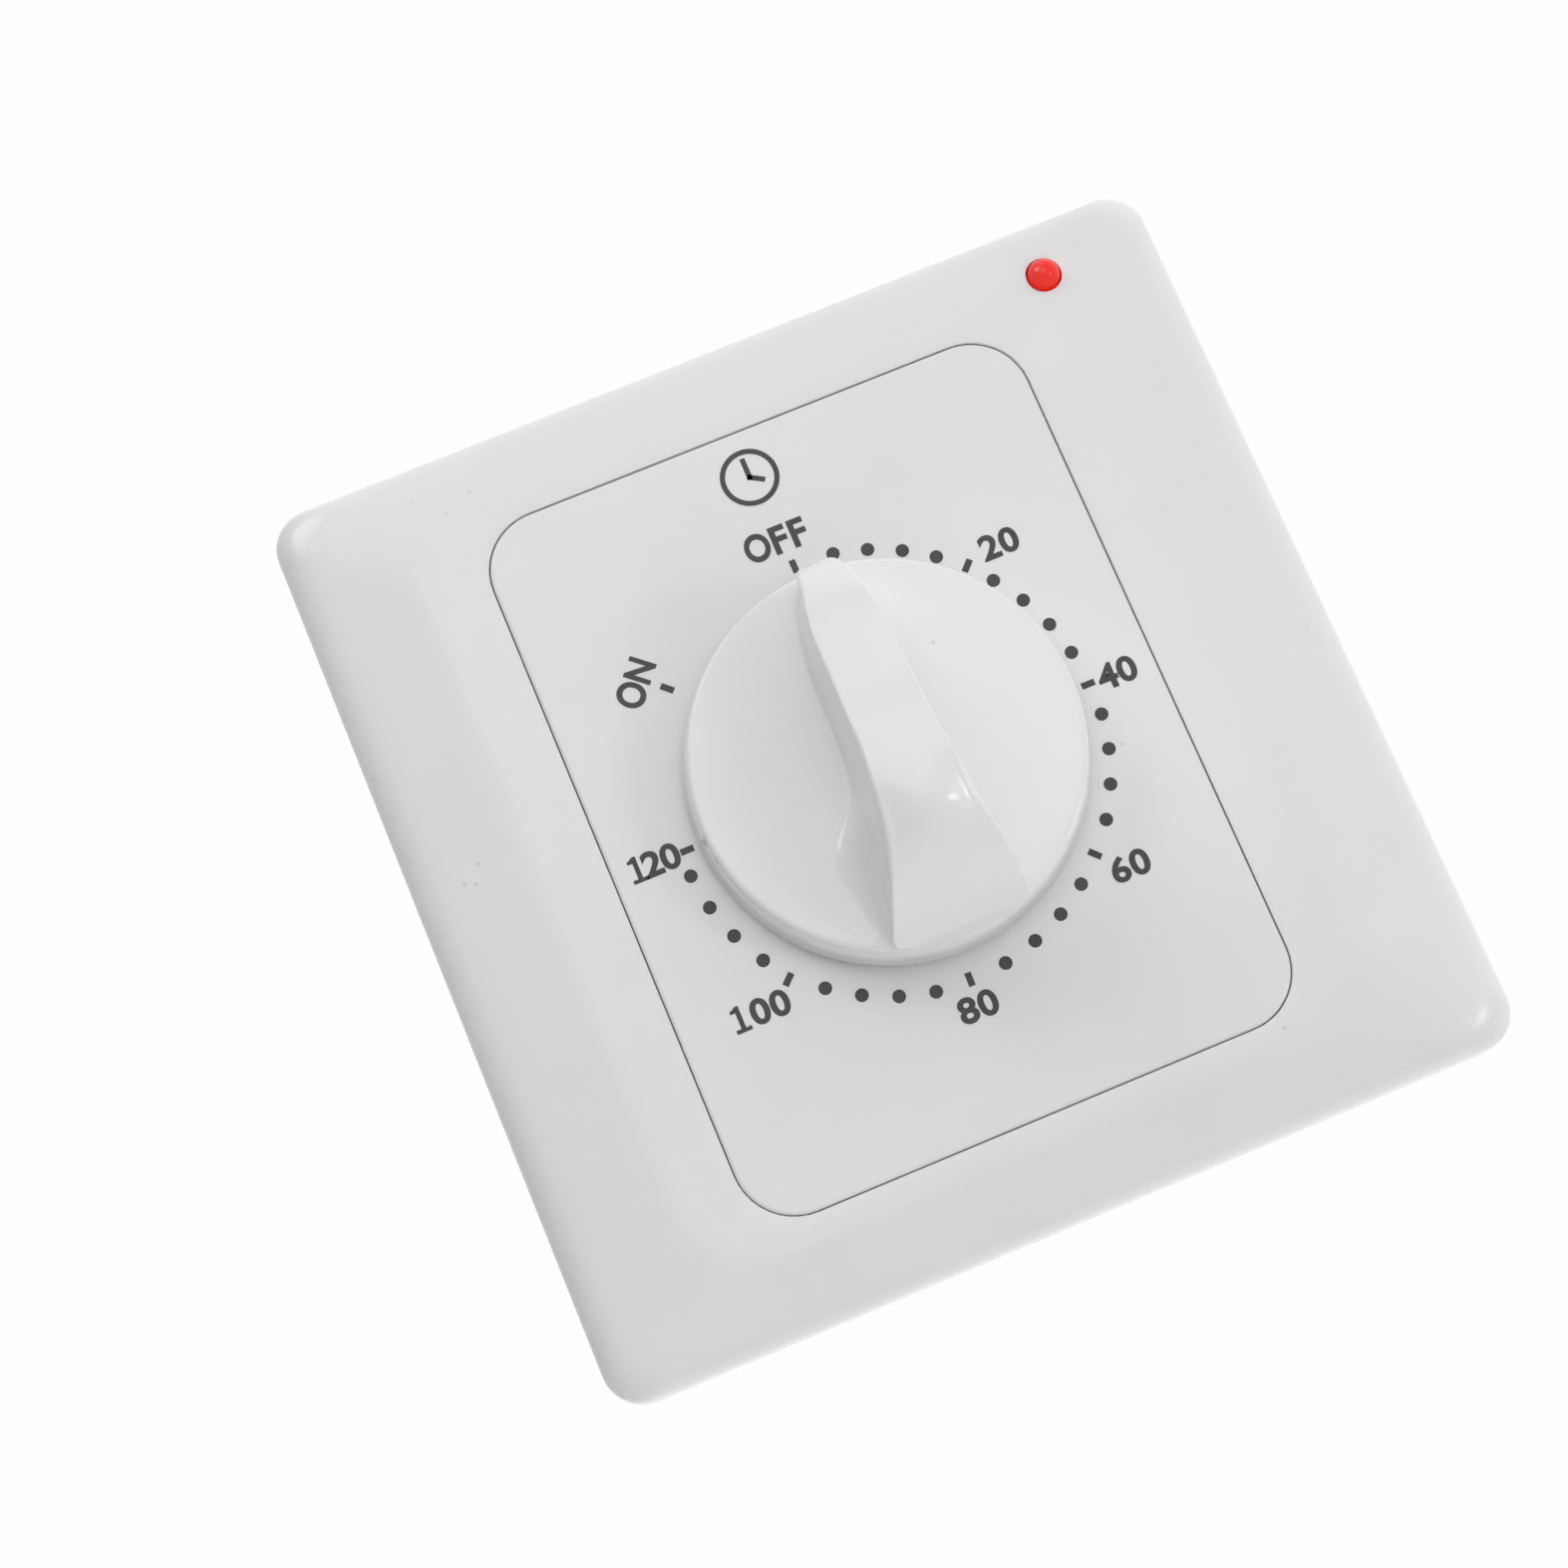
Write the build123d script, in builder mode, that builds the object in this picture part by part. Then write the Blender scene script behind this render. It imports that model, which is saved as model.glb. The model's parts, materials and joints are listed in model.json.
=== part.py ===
"""Wall plate with a two-hour clockwork timer light switch.

Frame: the wall is the XZ plane at Y = 0, +Z is up and the room is on the -Y side.
The origin is midway between the two fixing slots. Depths are written as "out":
millimetres in front of the wall, so Y = -out, and what is inside the wall box is negative.
"""
from build123d import *
from math import acos, cos, pi, radians, sin, tan
import os

os.makedirs("parts", exist_ok=True)

# Wall plate
plate_side = 86.0
plate_corner = 3.5
face_out = 9.0
rim_out = 7.0
rim_round = 2.4
crest_width = 63.6
crest_height = 73.0
crest_corner = 7.0
cover_wall = 2.0
panel_width = 52.0
panel_height = 67.5
panel_corner = 5.5
panel_thick = 2.0
panel_round = 0.35
panel_skirt = 1.4
skirt_out = 4.5
seam = 0.2
collar_wall = 1.6
collar_out = 5.2
roof_out = 5.0
pry_notch = (-36.0, -30.0)
pry_notch_out = 1.2

# Base frame and its fixing slots
base_side = 80.0
base_thick = 2.5
fixing_centres = 60.3
slot_width = 4.2
slot_length = 7.5
bush_hole_r = 4.8
wire_slot = (4.4, 2.6)
wire_slot_xs = (-3.0, 12.0)

# Snap legs of the panel and of the cover
leg_x = 15.0
leg_width = 8.0
leg_end_out = -1.3
barb = 0.6
barb_length = 1.1
cover_leg_x = 22.0
cover_leg_thick = 1.0

# Housing behind the wall plane
tub_width = 50.0
tub_height = 54.0
tub_corner = 3.0
tub_wall = 1.6
tub_floor = -24.5
tub_back = -26.0
ear_height = 31.8
ear_thick = 2.0
ear_half = 18.0
housing_screw_x = 13.0
housing_screw_z = 29.3

# Screws
screw_r = 1.2
screw_clear_r = 1.35
head_r = 2.3
head_thick = 1.6
small_screw_r = 0.82
small_head_r = 1.6
small_head_thick = 1.2

# Movement plates and pillars
movement_width = 45.0
movement_height = 47.0
movement_corner = 3.0
front_plate = (-3.0, -2.0)
rear_plate = (-23.0, -22.0)
pillar_x = 20.0
pillar_z = 21.0
pillar_r = 2.0
spacer_r = 3.0
nut_thick = 1.2
nut_apothem = 2.5

# Wheels: teeth, module and depth of each gear of the train
main_teeth = 60
second_pinion_teeth = 12
main_module = 0.5
second_teeth = 36
third_pinion_teeth = 12
third_teeth = 30
escape_pinion_teeth = 10
train_module = 0.4
pressure_angle = radians(25)
flank_relief = 0.07
pivot_gap = 0.04
escape_teeth = 15
escape_r = 5.0
arbor_r = 0.8
arbor_play = 0.15
pivot_r = 0.5
second_direction = radians(225)
third_direction = radians(-25)
escape_direction = radians(-5)
pallet_direction = radians(18)
pallet_distance = 8.0

# Back and front level of what turns in the movement
main_wheel_out = (-11.6, -10.4)
second_pinion_out = (-12.0, -10.0)
second_wheel_out = (-14.0, -13.2)
third_pinion_out = (-14.6, -12.7)
third_wheel_out = (-19.2, -18.4)
escape_pinion_out = (-19.7, -17.9)
escape_wheel_out = (-16.0, -15.2)
lever_out = (-18.0, -17.2)
cam_out = (-17.0, -14.0)
cam_hub_out = (-17.5, -13.4)

# Drive shaft, its bush and the spring round it
shaft_r = 2.5
shaft_flat = 1.8
shaft_end_out = 22.0
shoulder_out = -9.2
seat_r = 2.0
seat_end_out = -17.6
shaft_pivot_r = 1.2
bush_r = 4.4
bush_flange_r = 5.4
bush_end_out = 1.6
spring_strip = 0.4
spring_step = 0.8
spring_halves = 11
spring_out = (-8.7, -3.9)
post_at = (-12.0, -0.4)
post_r = 1.0
post_pin_r = 0.7
cam_r = 9.0
cam_hub_r = 4.2

# Switch contacts
blade_out = (-17.3, -13.4)
blade_thick = 0.4
moving_z = 11.5
fixed_z = 14.5
fixed_thick = 0.6
strip_end = 12.0
strap_end = -26.8
rivet_x = 9.8
rivet_r = 0.8
contact_r = 1.6
rivet_back_r = 1.1
contact_thick = 0.7
contact_screw_places = [(-16.6, 10.2), (-13.4, 12.9)]

# Knob
knob_gap = 0.8
disc_r = 18.0
disc_top_r = 17.5
disc_top_out = 14.9
disc_round = 0.5
disc_wall = 2.2
ridge_reach = 16.85
ridge_foot_out = 14.3
ridge_hollow = (-10.0, 8.0)
ridge_hollow_half = 1.6
ridge_hollow_out = 23.2
crest_round = 0.6
hub_r = 5.6
stem_r = 3.2
bore_gap = 0.02
clip_thick = 0.33
clip_width = 2.6

# Sections of the grip ridge: height on the dial, half width at the crest, half width at the foot,
# and how far out the crest stands. The pointer tip is the first, the tail the last.
ridge_sections = [
    (17.2, 0.8, 1.1, 18.2), (16.4, 1.3, 1.6, 20.3), (14.8, 1.9, 2.2, 22.4), (12.4, 2.75, 3.0, 24.0),
    (9.0, 3.15, 3.4, 24.8), (4.0, 3.25, 3.5, 25.6), (0.0, 3.35, 3.8, 26.6), (-4.0, 3.7, 5.6, 27.2),
    (-7.6, 4.15, 7.4, 26.9), (-10.0, 4.6, 7.9, 25.8), (-12.0, 5.1, 7.8, 23.9), (-13.6, 5.55, 7.4, 21.4),
    (-15.0, 6.0, 6.8, 18.8), (-15.9, 6.2, 6.4, 16.4), (-16.6, 5.9, 6.0, 14.6)]

# Indicator lamp
lamp_x = 31.5
lamp_z = 37.1
lamp_r = 1.5
lamp_hole_r = 1.7
lamp_flange_r = 1.9
lamp_flange_thick = 0.9
lamp_seat_out = 4.0
lamp_top_out = 9.8
lamp_boss_r = 2.85
lamp_boss_out = 5.2
leg_pitch = 2.54
lamp_leg_r = 0.22
lamp_leg_bend = 0.35
leg_end_x = 27.0

# Terminals
terminal_xs = (-12.0, 0.0, 12.0)
block_back = -35.0
block_size = (40.0, 19.4)
block_z = 15.7
block_screw_places = [(-17.0, 20.0), (17.0, 20.0)]
cage_side = 7.0
cage_low = 8.1
cage_back = -33.5
cage_room = 0.05
wire_bore_out = -29.2
wire_bore_r = 1.7
wire_bore_end = 14.3
terminal_screw_r = 1.5
terminal_head_r = 2.7
terminal_seat_out = -34.0

# Lamp wiring
wire_r = 0.55
wire_out = 3.5
wire_z = 23.9
tap_out = -28.6
resistor_z = 26.6
resistor_r = 0.95
resistor_lead_r = 0.3
floor_slots = [(-12.0, 10.9), (0.0, 14.9)]

# Cuts run past a face by this much
over = 1.0


def level(out):
    """Plane that faces the room, out millimetres in front of the wall."""
    return Plane.XZ.offset(out)


def slab(x_low, x_high, z_low, z_high, back, front, mode=Mode.ADD):
    """Block between two X, two Z and two out values."""
    with BuildSketch(level(back)) as profile:
        with Locations(((x_low + x_high) / 2, (z_low + z_high) / 2)):
            Rectangle(x_high - x_low, z_high - z_low)
    extrude(profile.sketch, amount=front - back, mode=mode)


def rounded_slab(width, height, corner, back, front, mode=Mode.ADD):
    """Block with rounded corners about the shaft's axis."""
    with BuildSketch(level(back)) as profile:
        RectangleRounded(width, height, corner)
    extrude(profile.sketch, amount=front - back, mode=mode)


def rounds(places, radius, back, front, mode=Mode.ADD):
    """Cylinders along Y with one radius at several (x, z) places."""
    with BuildSketch(level(back)) as profile:
        with Locations(*places):
            Circle(radius)
    extrude(profile.sketch, amount=front - back, mode=mode)


def uprights(xs, out, radius, z_low, z_high, mode=Mode.ADD):
    """Cylinders along Z with one radius at several x places."""
    with BuildSketch(Plane.XY.offset(z_low)) as profile:
        with Locations(*[(x, -out) for x in xs]):
            Circle(radius)
    extrude(profile.sketch, amount=z_high - z_low, mode=mode)


def slotted_screws(places, shank_r, cap_r, tip, seat, cap_end):
    """Screws along Y: shanks from tip to seat, heads from there to cap_end, with a slot across."""
    side = 1 if cap_end > seat else -1
    rounds(places, shank_r, min(tip, seat), max(tip, seat))
    rounds(places, cap_r, min(seat, cap_end), max(seat, cap_end))
    slot = sorted(((seat + cap_end) / 2, cap_end + side * over))
    for x, z in places:
        slab(x - cap_r, x + cap_r, z - 0.13 * cap_r, z + 0.13 * cap_r, *slot, Mode.SUBTRACT)


def corners(x, z):
    """The four places at plus or minus x and z."""
    return [(x, z), (-x, z), (-x, -z), (x, -z)]


def around(centre, radius, angle):
    """Point at an angle, in radians, round a centre."""
    return (centre[0] + radius * cos(angle), centre[1] + radius * sin(angle))


def ring(centre, radius, count):
    """Places spread evenly on a circle."""
    return [around(centre, radius, k * 2 * pi / count) for k in range(count)]


def involute(base_r, radius):
    """Polar angle of an involute where it reaches a radius."""
    slant = acos(base_r / radius)
    return tan(slant) - slant


def gear_radii(teeth, module):
    """Pitch, base, tip and root radius of a gear."""
    pitch_r = teeth * module / 2
    return pitch_r, pitch_r * cos(pressure_angle), pitch_r + 0.8 * module, pitch_r - 1.2 * module


def toothed(centre, teeth, module, turn, back, front):
    """Spur gear with its first tooth at the angle turn, flanks as arcs on the involute."""
    pitch_r, base_r, tip_r, root_r = gear_radii(teeth, module)
    foot_r = max(base_r, root_r)
    half_tooth = pi / (2 * teeth) - flank_relief / pitch_r + involute(base_r, pitch_r)
    flank_rs = (foot_r, (foot_r + tip_r) / 2, tip_r)
    flank = [(radius, half_tooth - involute(base_r, radius)) for radius in flank_rs]
    step = 2 * pi / teeth
    with BuildSketch(level(back)) as profile:
        with BuildLine():
            for tooth in range(teeth):
                middle = turn + tooth * step
                low_side = [around(centre, r, middle - half) for r, half in flank]
                high_side = [around(centre, r, middle + half) for r, half in flank]
                next_root = around(centre, root_r, middle + step - flank[0][1])
                this_root = around(centre, root_r, middle + flank[0][1])
                ThreePointArc(*low_side)
                ThreePointArc(low_side[2], around(centre, tip_r, middle), high_side[2])
                ThreePointArc(*reversed(high_side))
                if root_r < foot_r:
                    Line(high_side[0], this_root)
                    Line(next_root, around(centre, foot_r, middle + step - flank[0][1]))
                ThreePointArc(this_root, around(centre, root_r, middle + step / 2), next_root)
        make_face()
    extrude(profile.sketch, amount=front - back)


def mesh_turn(driver_teeth, follower_teeth, direction):
    """Turn that puts a follower's gap on the tooth of a driver whose own turn is zero."""
    share = (direction * driver_teeth / (2 * pi)) % 1.0
    return direction + pi + (share + 0.5) * 2 * pi / follower_teeth


def arbor(centre):
    """Steel arbor with a pivot in each movement plate."""
    rounds([centre], arbor_r, rear_plate[1] + arbor_play, front_plate[0] - arbor_play)
    rounds([centre], pivot_r, rear_plate[0], front_plate[1])


def wheel_with_holes(centre, teeth, module, levels, hole_r, holes_at):
    """Brass wheel, lightened by five holes, with a hub that grips its arbor."""
    back, front = levels
    toothed(centre, teeth, module, 0, back, front)
    rounds([centre], 2 * arbor_r, back - arbor_r / 2, front)
    rounds(ring(centre, holes_at, 5), hole_r, back - over, front + over, Mode.SUBTRACT)
    rounds([centre], arbor_r, back - over, front + over, Mode.SUBTRACT)


def ridge_section(z, crest, foot, top):
    """Outline of the grip ridge at one height on the dial: waisted walls under a rounded crest."""
    rise = top - ridge_foot_out
    fall = min(crest_round, rise / 2)
    shoulder = top - fall
    waist = (foot + 2 * crest) / 3, -(ridge_foot_out + 0.35 * (rise - fall))
    wall = [(foot, -ridge_foot_out), waist, (crest, -shoulder)]
    brow = 0.86 * crest, -(top - 0.2 * fall)
    with BuildSketch(Plane.XY.offset(z)) as section:
        with BuildLine():
            Spline(*wall)
            Spline(wall[-1], brow, (0, -top), (-brow[0], brow[1]), (-crest, -shoulder))
            Spline(*[(-x, y) for x, y in reversed(wall)])
            Line((-foot, -ridge_foot_out), wall[0])
        make_face()
    return section.sketch


def bend_radii(points):
    """Radius of the arc at each inner point of a wire's route."""
    route = [Vector(*point) for point in points]
    radii = []
    for before, here, after in zip(route, route[1:], route[2:]):
        turn = radians((here - before).get_angle(after - here))
        run = min((here - before).length, (after - here).length)
        radii.append(0.45 * run / tan(turn / 2))
    return radii


def wire(route, radius):
    """Round wire along a route of (x, out, z) points."""
    points = [(x, -out, z) for x, out, z in route]
    radii = bend_radii(points)
    with BuildLine() as path:
        FilletPolyline(*points, radius=radii)
    run = path.wires()[0]
    with BuildSketch(Plane(origin=run @ 0, z_dir=run % 0)) as section:
        Circle(radius)
    sweep(section.sketch, path=run)
    print("wire bends", [round(r, 1) for r in radii], "length", round(run.length, 1))


# Outer frame of the plate: flat beside the panel, then falling to the rim
inner_side = plate_side - 2 * cover_wall
opening_width = panel_width + 2 * seam
opening_height = panel_height + 2 * seam
with BuildPart() as surround_cover:
    rounded_slab(plate_side, plate_side, plate_corner, 0, rim_out)
    with BuildSketch(level(rim_out)):
        RectangleRounded(plate_side, plate_side, plate_corner)
    with BuildSketch(level(face_out)):
        RectangleRounded(crest_width, crest_height, crest_corner)
    loft()
    rim_edges = surround_cover.edges().filter_by_position(Axis.Y, -rim_out - 0.05, -rim_out + 0.05)
    fillet(rim_edges, rim_round)
    rounded_slab(inner_side, inner_side, plate_corner - 1, 0, roof_out, Mode.SUBTRACT)
    with BuildSketch(level(roof_out)):
        RectangleRounded(inner_side, inner_side, plate_corner - 1)
    with BuildSketch(level(face_out - cover_wall)):
        RectangleRounded(panel_width + 4, panel_height + 4, panel_corner)
    loft(mode=Mode.SUBTRACT)
    rounded_slab(opening_width + 2 * collar_wall, opening_height + 2 * collar_wall,
                 panel_corner + seam + collar_wall, collar_out, face_out - 0.8 * cover_wall)
    rounded_slab(opening_width, opening_height, panel_corner + seam, 0, face_out + over, Mode.SUBTRACT)
    rounds([(lamp_x, lamp_z)], lamp_hole_r, 0, face_out + over, Mode.SUBTRACT)
    leg_face = base_side / 2 + 0.15
    for side in (1, -1):
        leg_z = sorted((side * leg_face, side * (leg_face + cover_leg_thick)))
        barb_z = sorted((side * (leg_face - barb), side * leg_face))
        for x in (cover_leg_x, -cover_leg_x):
            leg = (x - leg_width / 2, x + leg_width / 2)
            slab(*leg, *leg_z, 0.3, roof_out + 0.3)
            slab(*leg, *barb_z, 0.3, barb_length)
    slab(-plate_side / 2 - over, -inner_side / 2 + 0.5, *pry_notch, -over, pry_notch_out, Mode.SUBTRACT)
surround_cover.part.label = "surround_cover"
export_step(surround_cover.part, "parts/surround_cover.step")

# Middle panel that carries the dial
with BuildPart() as face_panel:
    rounded_slab(panel_width, panel_height, panel_corner, skirt_out, face_out)
    fillet(face_panel.faces().sort_by(Axis.Y)[0].edges(), panel_round)
    rounded_slab(panel_width - 2 * panel_skirt, panel_height - 2 * panel_skirt, panel_corner - panel_skirt,
                 skirt_out, face_out - panel_thick, Mode.SUBTRACT)
    for side in (1, -1):
        outer_z = side * panel_height / 2
        wall_z = sorted((outer_z - side * panel_skirt, outer_z))
        barb_z = sorted((outer_z, outer_z + side * barb))
        for x in (leg_x, -leg_x):
            leg = (x - leg_width / 2, x + leg_width / 2)
            slab(*leg, *wall_z, leg_end_out, skirt_out + 0.5)
            slab(*leg, *barb_z, leg_end_out, leg_end_out + barb_length)
    rounds([(0, 0)], shaft_r + 0.6, 0, face_out + over, Mode.SUBTRACT)
face_panel.part.label = "face_panel"
export_step(face_panel.part, "parts/face_panel.step")

# Frame that is screwed to the wall box and holds everything
with BuildPart() as base_frame:
    with BuildSketch(level(0)):
        RectangleRounded(base_side, base_side, plate_corner - 1)
        with Locations((fixing_centres / 2, 0), (-fixing_centres / 2, 0)):
            SlotOverall(slot_length, slot_width, mode=Mode.SUBTRACT)
        Circle(bush_hole_r, mode=Mode.SUBTRACT)
        with Locations(*corners(leg_x, panel_height / 2 - 0.1)):
            Rectangle(leg_width + 0.6, panel_skirt + 2 * barb + 0.4, mode=Mode.SUBTRACT)
        with Locations(*corners(housing_screw_x, housing_screw_z)):
            Circle(screw_clear_r, mode=Mode.SUBTRACT)
        with Locations(*[(x, wire_z) for x in wire_slot_xs]):
            SlotOverall(*wire_slot, mode=Mode.SUBTRACT)
    extrude(amount=base_thick)
    rounds(corners(pillar_x, pillar_z), spacer_r, front_plate[1], 0)
    rounds(corners(pillar_x, pillar_z), screw_clear_r, front_plate[1] - over, base_thick + over, Mode.SUBTRACT)
    for x, z in corners(cover_leg_x, base_side / 2):
        slab(x - leg_width / 2 - 0.5, x + leg_width / 2 + 0.5, z - 0.9, z + 0.9, -over, 1.5, Mode.SUBTRACT)
    rounds([(lamp_x, lamp_z)], lamp_boss_r, base_thick, lamp_boss_out)
    rounds([(lamp_x, lamp_z)], lamp_flange_r + 0.05, lamp_seat_out, lamp_boss_out + over, Mode.SUBTRACT)
    leg_room = leg_pitch / 2 + 0.7
    slab(lamp_x - 4, lamp_x + 0.6, lamp_z - leg_room, lamp_z + leg_room, 2.9, lamp_seat_out, Mode.SUBTRACT)
base_frame.part.label = "base_frame"
export_step(base_frame.part, "parts/base_frame.step")

# Tub that closes the movement in behind the wall plane
with BuildPart() as rear_housing:
    rounded_slab(tub_width, tub_height, tub_corner, tub_back, 0)
    rounded_slab(tub_width - 2 * tub_wall, tub_height - 2 * tub_wall, tub_corner - tub_wall + 0.2,
                 tub_floor, 0, Mode.SUBTRACT)
    for side in (1, -1):
        ear_z = sorted((side * (tub_height / 2 - 0.5), side * ear_height))
        slab(-ear_half, ear_half, *ear_z, -ear_thick, 0)
    rounds(corners(housing_screw_x, housing_screw_z), screw_r - 0.02, -ear_thick, 0, Mode.SUBTRACT)
    for x, z in floor_slots:
        slab(x - 1.7, x + 1.7, z - 0.6, z + 0.6, tub_back - over, tub_floor + over, Mode.SUBTRACT)
    wire_holes = [(x, wire_z) for x in terminal_xs[1:]]
    rounds(wire_holes, wire_r + 0.35, tub_back - over, tub_floor + over, Mode.SUBTRACT)
    rounds(block_screw_places, 1.1, tub_back - over, tub_floor + over, Mode.SUBTRACT)
rear_housing.part.label = "rear_housing"
export_step(rear_housing.part, "parts/rear_housing.step")

with BuildPart() as housing_screws:
    slotted_screws(corners(housing_screw_x, housing_screw_z), screw_r - 0.03, head_r,
                   -ear_thick - 0.6, base_thick, base_thick + head_thick)
housing_screws.part.label = "housing_screws"
export_step(housing_screws.part, "parts/housing_screws.step")

# Movement frame: two plates held apart by four pillars
second_at = around((0, 0), (main_teeth + second_pinion_teeth) * main_module / 2, second_direction)
third_at = around(second_at, (second_teeth + third_pinion_teeth) * train_module / 2, third_direction)
escape_at = around(third_at, (third_teeth + escape_pinion_teeth) * train_module / 2, escape_direction)
pallet_at = around(escape_at, pallet_distance, pallet_direction)
arbor_places = [second_at, third_at, escape_at, pallet_at]
wire_notches = [(-2.0, movement_height / 2), (12.0, movement_height / 2)]

with BuildPart() as timer_front_plate:
    with BuildSketch(level(front_plate[0])):
        RectangleRounded(movement_width, movement_height, movement_corner)
        with Locations(*wire_notches):
            Rectangle(5.0, 2.4, mode=Mode.SUBTRACT)
        Circle(bush_r, mode=Mode.SUBTRACT)
        with Locations(*corners(pillar_x, pillar_z)):
            Circle(screw_clear_r, mode=Mode.SUBTRACT)
        with Locations(*arbor_places):
            Circle(pivot_r + pivot_gap, mode=Mode.SUBTRACT)
        with Locations(post_at):
            Circle(post_pin_r, mode=Mode.SUBTRACT)
    extrude(amount=front_plate[1] - front_plate[0])
timer_front_plate.part.label = "timer_front_plate"
export_step(timer_front_plate.part, "parts/timer_front_plate.step")

with BuildPart() as timer_rear_plate:
    with BuildSketch(level(rear_plate[0])):
        RectangleRounded(movement_width, movement_height, movement_corner)
        with Locations(*wire_notches):
            Rectangle(5.0, 2.4, mode=Mode.SUBTRACT)
        Circle(shaft_pivot_r + pivot_gap, mode=Mode.SUBTRACT)
        with Locations(*corners(pillar_x, pillar_z)):
            Circle(screw_clear_r, mode=Mode.SUBTRACT)
        with Locations(*arbor_places):
            Circle(pivot_r + pivot_gap, mode=Mode.SUBTRACT)
        with Locations(*contact_screw_places):
            Circle(small_screw_r + 0.18, mode=Mode.SUBTRACT)
        with Locations(*floor_slots):
            Rectangle(5.0, 2.6, mode=Mode.SUBTRACT)
    extrude(amount=rear_plate[1] - rear_plate[0])
timer_rear_plate.part.label = "timer_rear_plate"
export_step(timer_rear_plate.part, "parts/timer_rear_plate.step")

with BuildPart() as plate_pillars:
    pillar_places = corners(pillar_x, pillar_z)
    rounds(pillar_places, pillar_r, rear_plate[1], front_plate[0])
    rounds(pillar_places, screw_r, front_plate[0] - 4.5, front_plate[0], Mode.SUBTRACT)
    rounds(pillar_places, screw_r + 0.05, rear_plate[0] - nut_thick - 0.1, rear_plate[1])
plate_pillars.part.label = "plate_pillars"
export_step(plate_pillars.part, "parts/plate_pillars.step")

with BuildPart() as pillar_nuts:
    with BuildSketch(level(rear_plate[0] - nut_thick)):
        with Locations(*corners(pillar_x, pillar_z)):
            RegularPolygon(nut_apothem, 6, major_radius=False)
            Circle(screw_r + 0.08, mode=Mode.SUBTRACT)
    extrude(amount=nut_thick)
pillar_nuts.part.label = "pillar_nuts"
export_step(pillar_nuts.part, "parts/pillar_nuts.step")

with BuildPart() as movement_screws:
    slotted_screws(corners(pillar_x, pillar_z), screw_r - 0.03, head_r,
                   front_plate[0] - 4, base_thick, base_thick + head_thick)
movement_screws.part.label = "movement_screws"
export_step(movement_screws.part, "parts/movement_screws.step")

with BuildPart() as shaft_bush:
    rounds([(0, 0)], bush_r, front_plate[0], bush_end_out)
    rounds([(0, 0)], bush_flange_r, front_plate[0] - 0.5, front_plate[0])
    rounds([(0, 0)], shaft_r + pivot_gap, front_plate[0] - over, bush_end_out + over, Mode.SUBTRACT)
shaft_bush.part.label = "shaft_bush"
export_step(shaft_bush.part, "parts/shaft_bush.step")

with BuildPart() as spring_post:
    rounds([post_at], post_r, shoulder_out + 0.2, front_plate[0])
    rounds([post_at], post_pin_r, front_plate[0], front_plate[1])
spring_post.part.label = "spring_post"
export_step(spring_post.part, "parts/spring_post.step")

# Mainspring: half-turn arcs about two centres, each one step larger than the last
spring_start_r = shaft_r + 0.05 + spring_strip / 2
with BuildPart() as mainspring:
    with BuildSketch(level(spring_out[0])):
        with BuildLine():
            for half in range(spring_halves):
                odd = half % 2
                CenterArc((odd * spring_step, 0), spring_start_r + half * spring_step, 180 * odd, 180)
        trace(line_width=spring_strip)
    extrude(amount=spring_out[1] - spring_out[0])
mainspring.part.label = "mainspring"
export_step(mainspring.part, "parts/mainspring.step")

# Shaft with a flat for the knob, a shoulder for the wheel and a rear pivot
with BuildPart() as drive_shaft:
    rounds([(0, 0)], shaft_r, shoulder_out, shaft_end_out)
    slab(-shaft_r, shaft_r, shaft_flat, shaft_r + over, face_out + 0.5, shaft_end_out + over, Mode.SUBTRACT)
    chamfer(drive_shaft.faces().sort_by(Axis.Y)[0].edges(), 0.4)
    rounds([(0, 0)], seat_r, seat_end_out, shoulder_out)
    rounds([(0, 0)], shaft_pivot_r, rear_plate[0] - 0.5, seat_end_out)
drive_shaft.part.label = "drive_shaft"
export_step(drive_shaft.part, "parts/drive_shaft.step")

# Dished washer that presses the wheel against its seat
with BuildPart() as clutch_washer:
    with BuildSketch(Plane.YZ):
        with BuildLine():
            Polyline((9.3, seat_r + 0.1), (9.7, seat_r + 0.1), (10.3, 4.9), (9.9, 4.9), close=True)
        make_face()
    revolve(axis=Axis.Y)
clutch_washer.part.label = "clutch_washer"
export_step(clutch_washer.part, "parts/clutch_washer.step")

with BuildPart() as main_wheel:
    toothed((0, 0), main_teeth, main_module, 0, *main_wheel_out)
    rounds([(0, 0)], 2 * seat_r, main_wheel_out[0] - 1.6, main_wheel_out[1])
    rounds(ring((0, 0), 9.4, 5), 2.9, main_wheel_out[0] - 0.4, main_wheel_out[1] + 0.4, Mode.SUBTRACT)
    rounds([(0, 0)], seat_r, main_wheel_out[0] - 2.4, main_wheel_out[1] + 0.4, Mode.SUBTRACT)
main_wheel.part.label = "main_wheel"
export_step(main_wheel.part, "parts/main_wheel.step")

# Cam: a low stretch at the top keeps the contacts apart at OFF
with BuildPart() as switching_cam:
    rounds([(0, 0)], cam_r, *cam_out)
    rounds([(0, 0)], cam_hub_r, *cam_hub_out)
    rounds([(0, cam_r + 2.4)], cam_hub_r, cam_out[0] - over, cam_out[1] + over, Mode.SUBTRACT)
    rounds([(0, 0)], seat_r, cam_hub_out[0] - over, cam_hub_out[1] + over, Mode.SUBTRACT)
switching_cam.part.label = "switching_cam"
export_step(switching_cam.part, "parts/switching_cam.step")

# Wheel train: each arbor has its pinion cut on it and carries a wheel
second_turn = mesh_turn(main_teeth, second_pinion_teeth, second_direction)
third_turn = mesh_turn(second_teeth, third_pinion_teeth, third_direction)
escape_turn = mesh_turn(third_teeth, escape_pinion_teeth, escape_direction)

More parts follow.
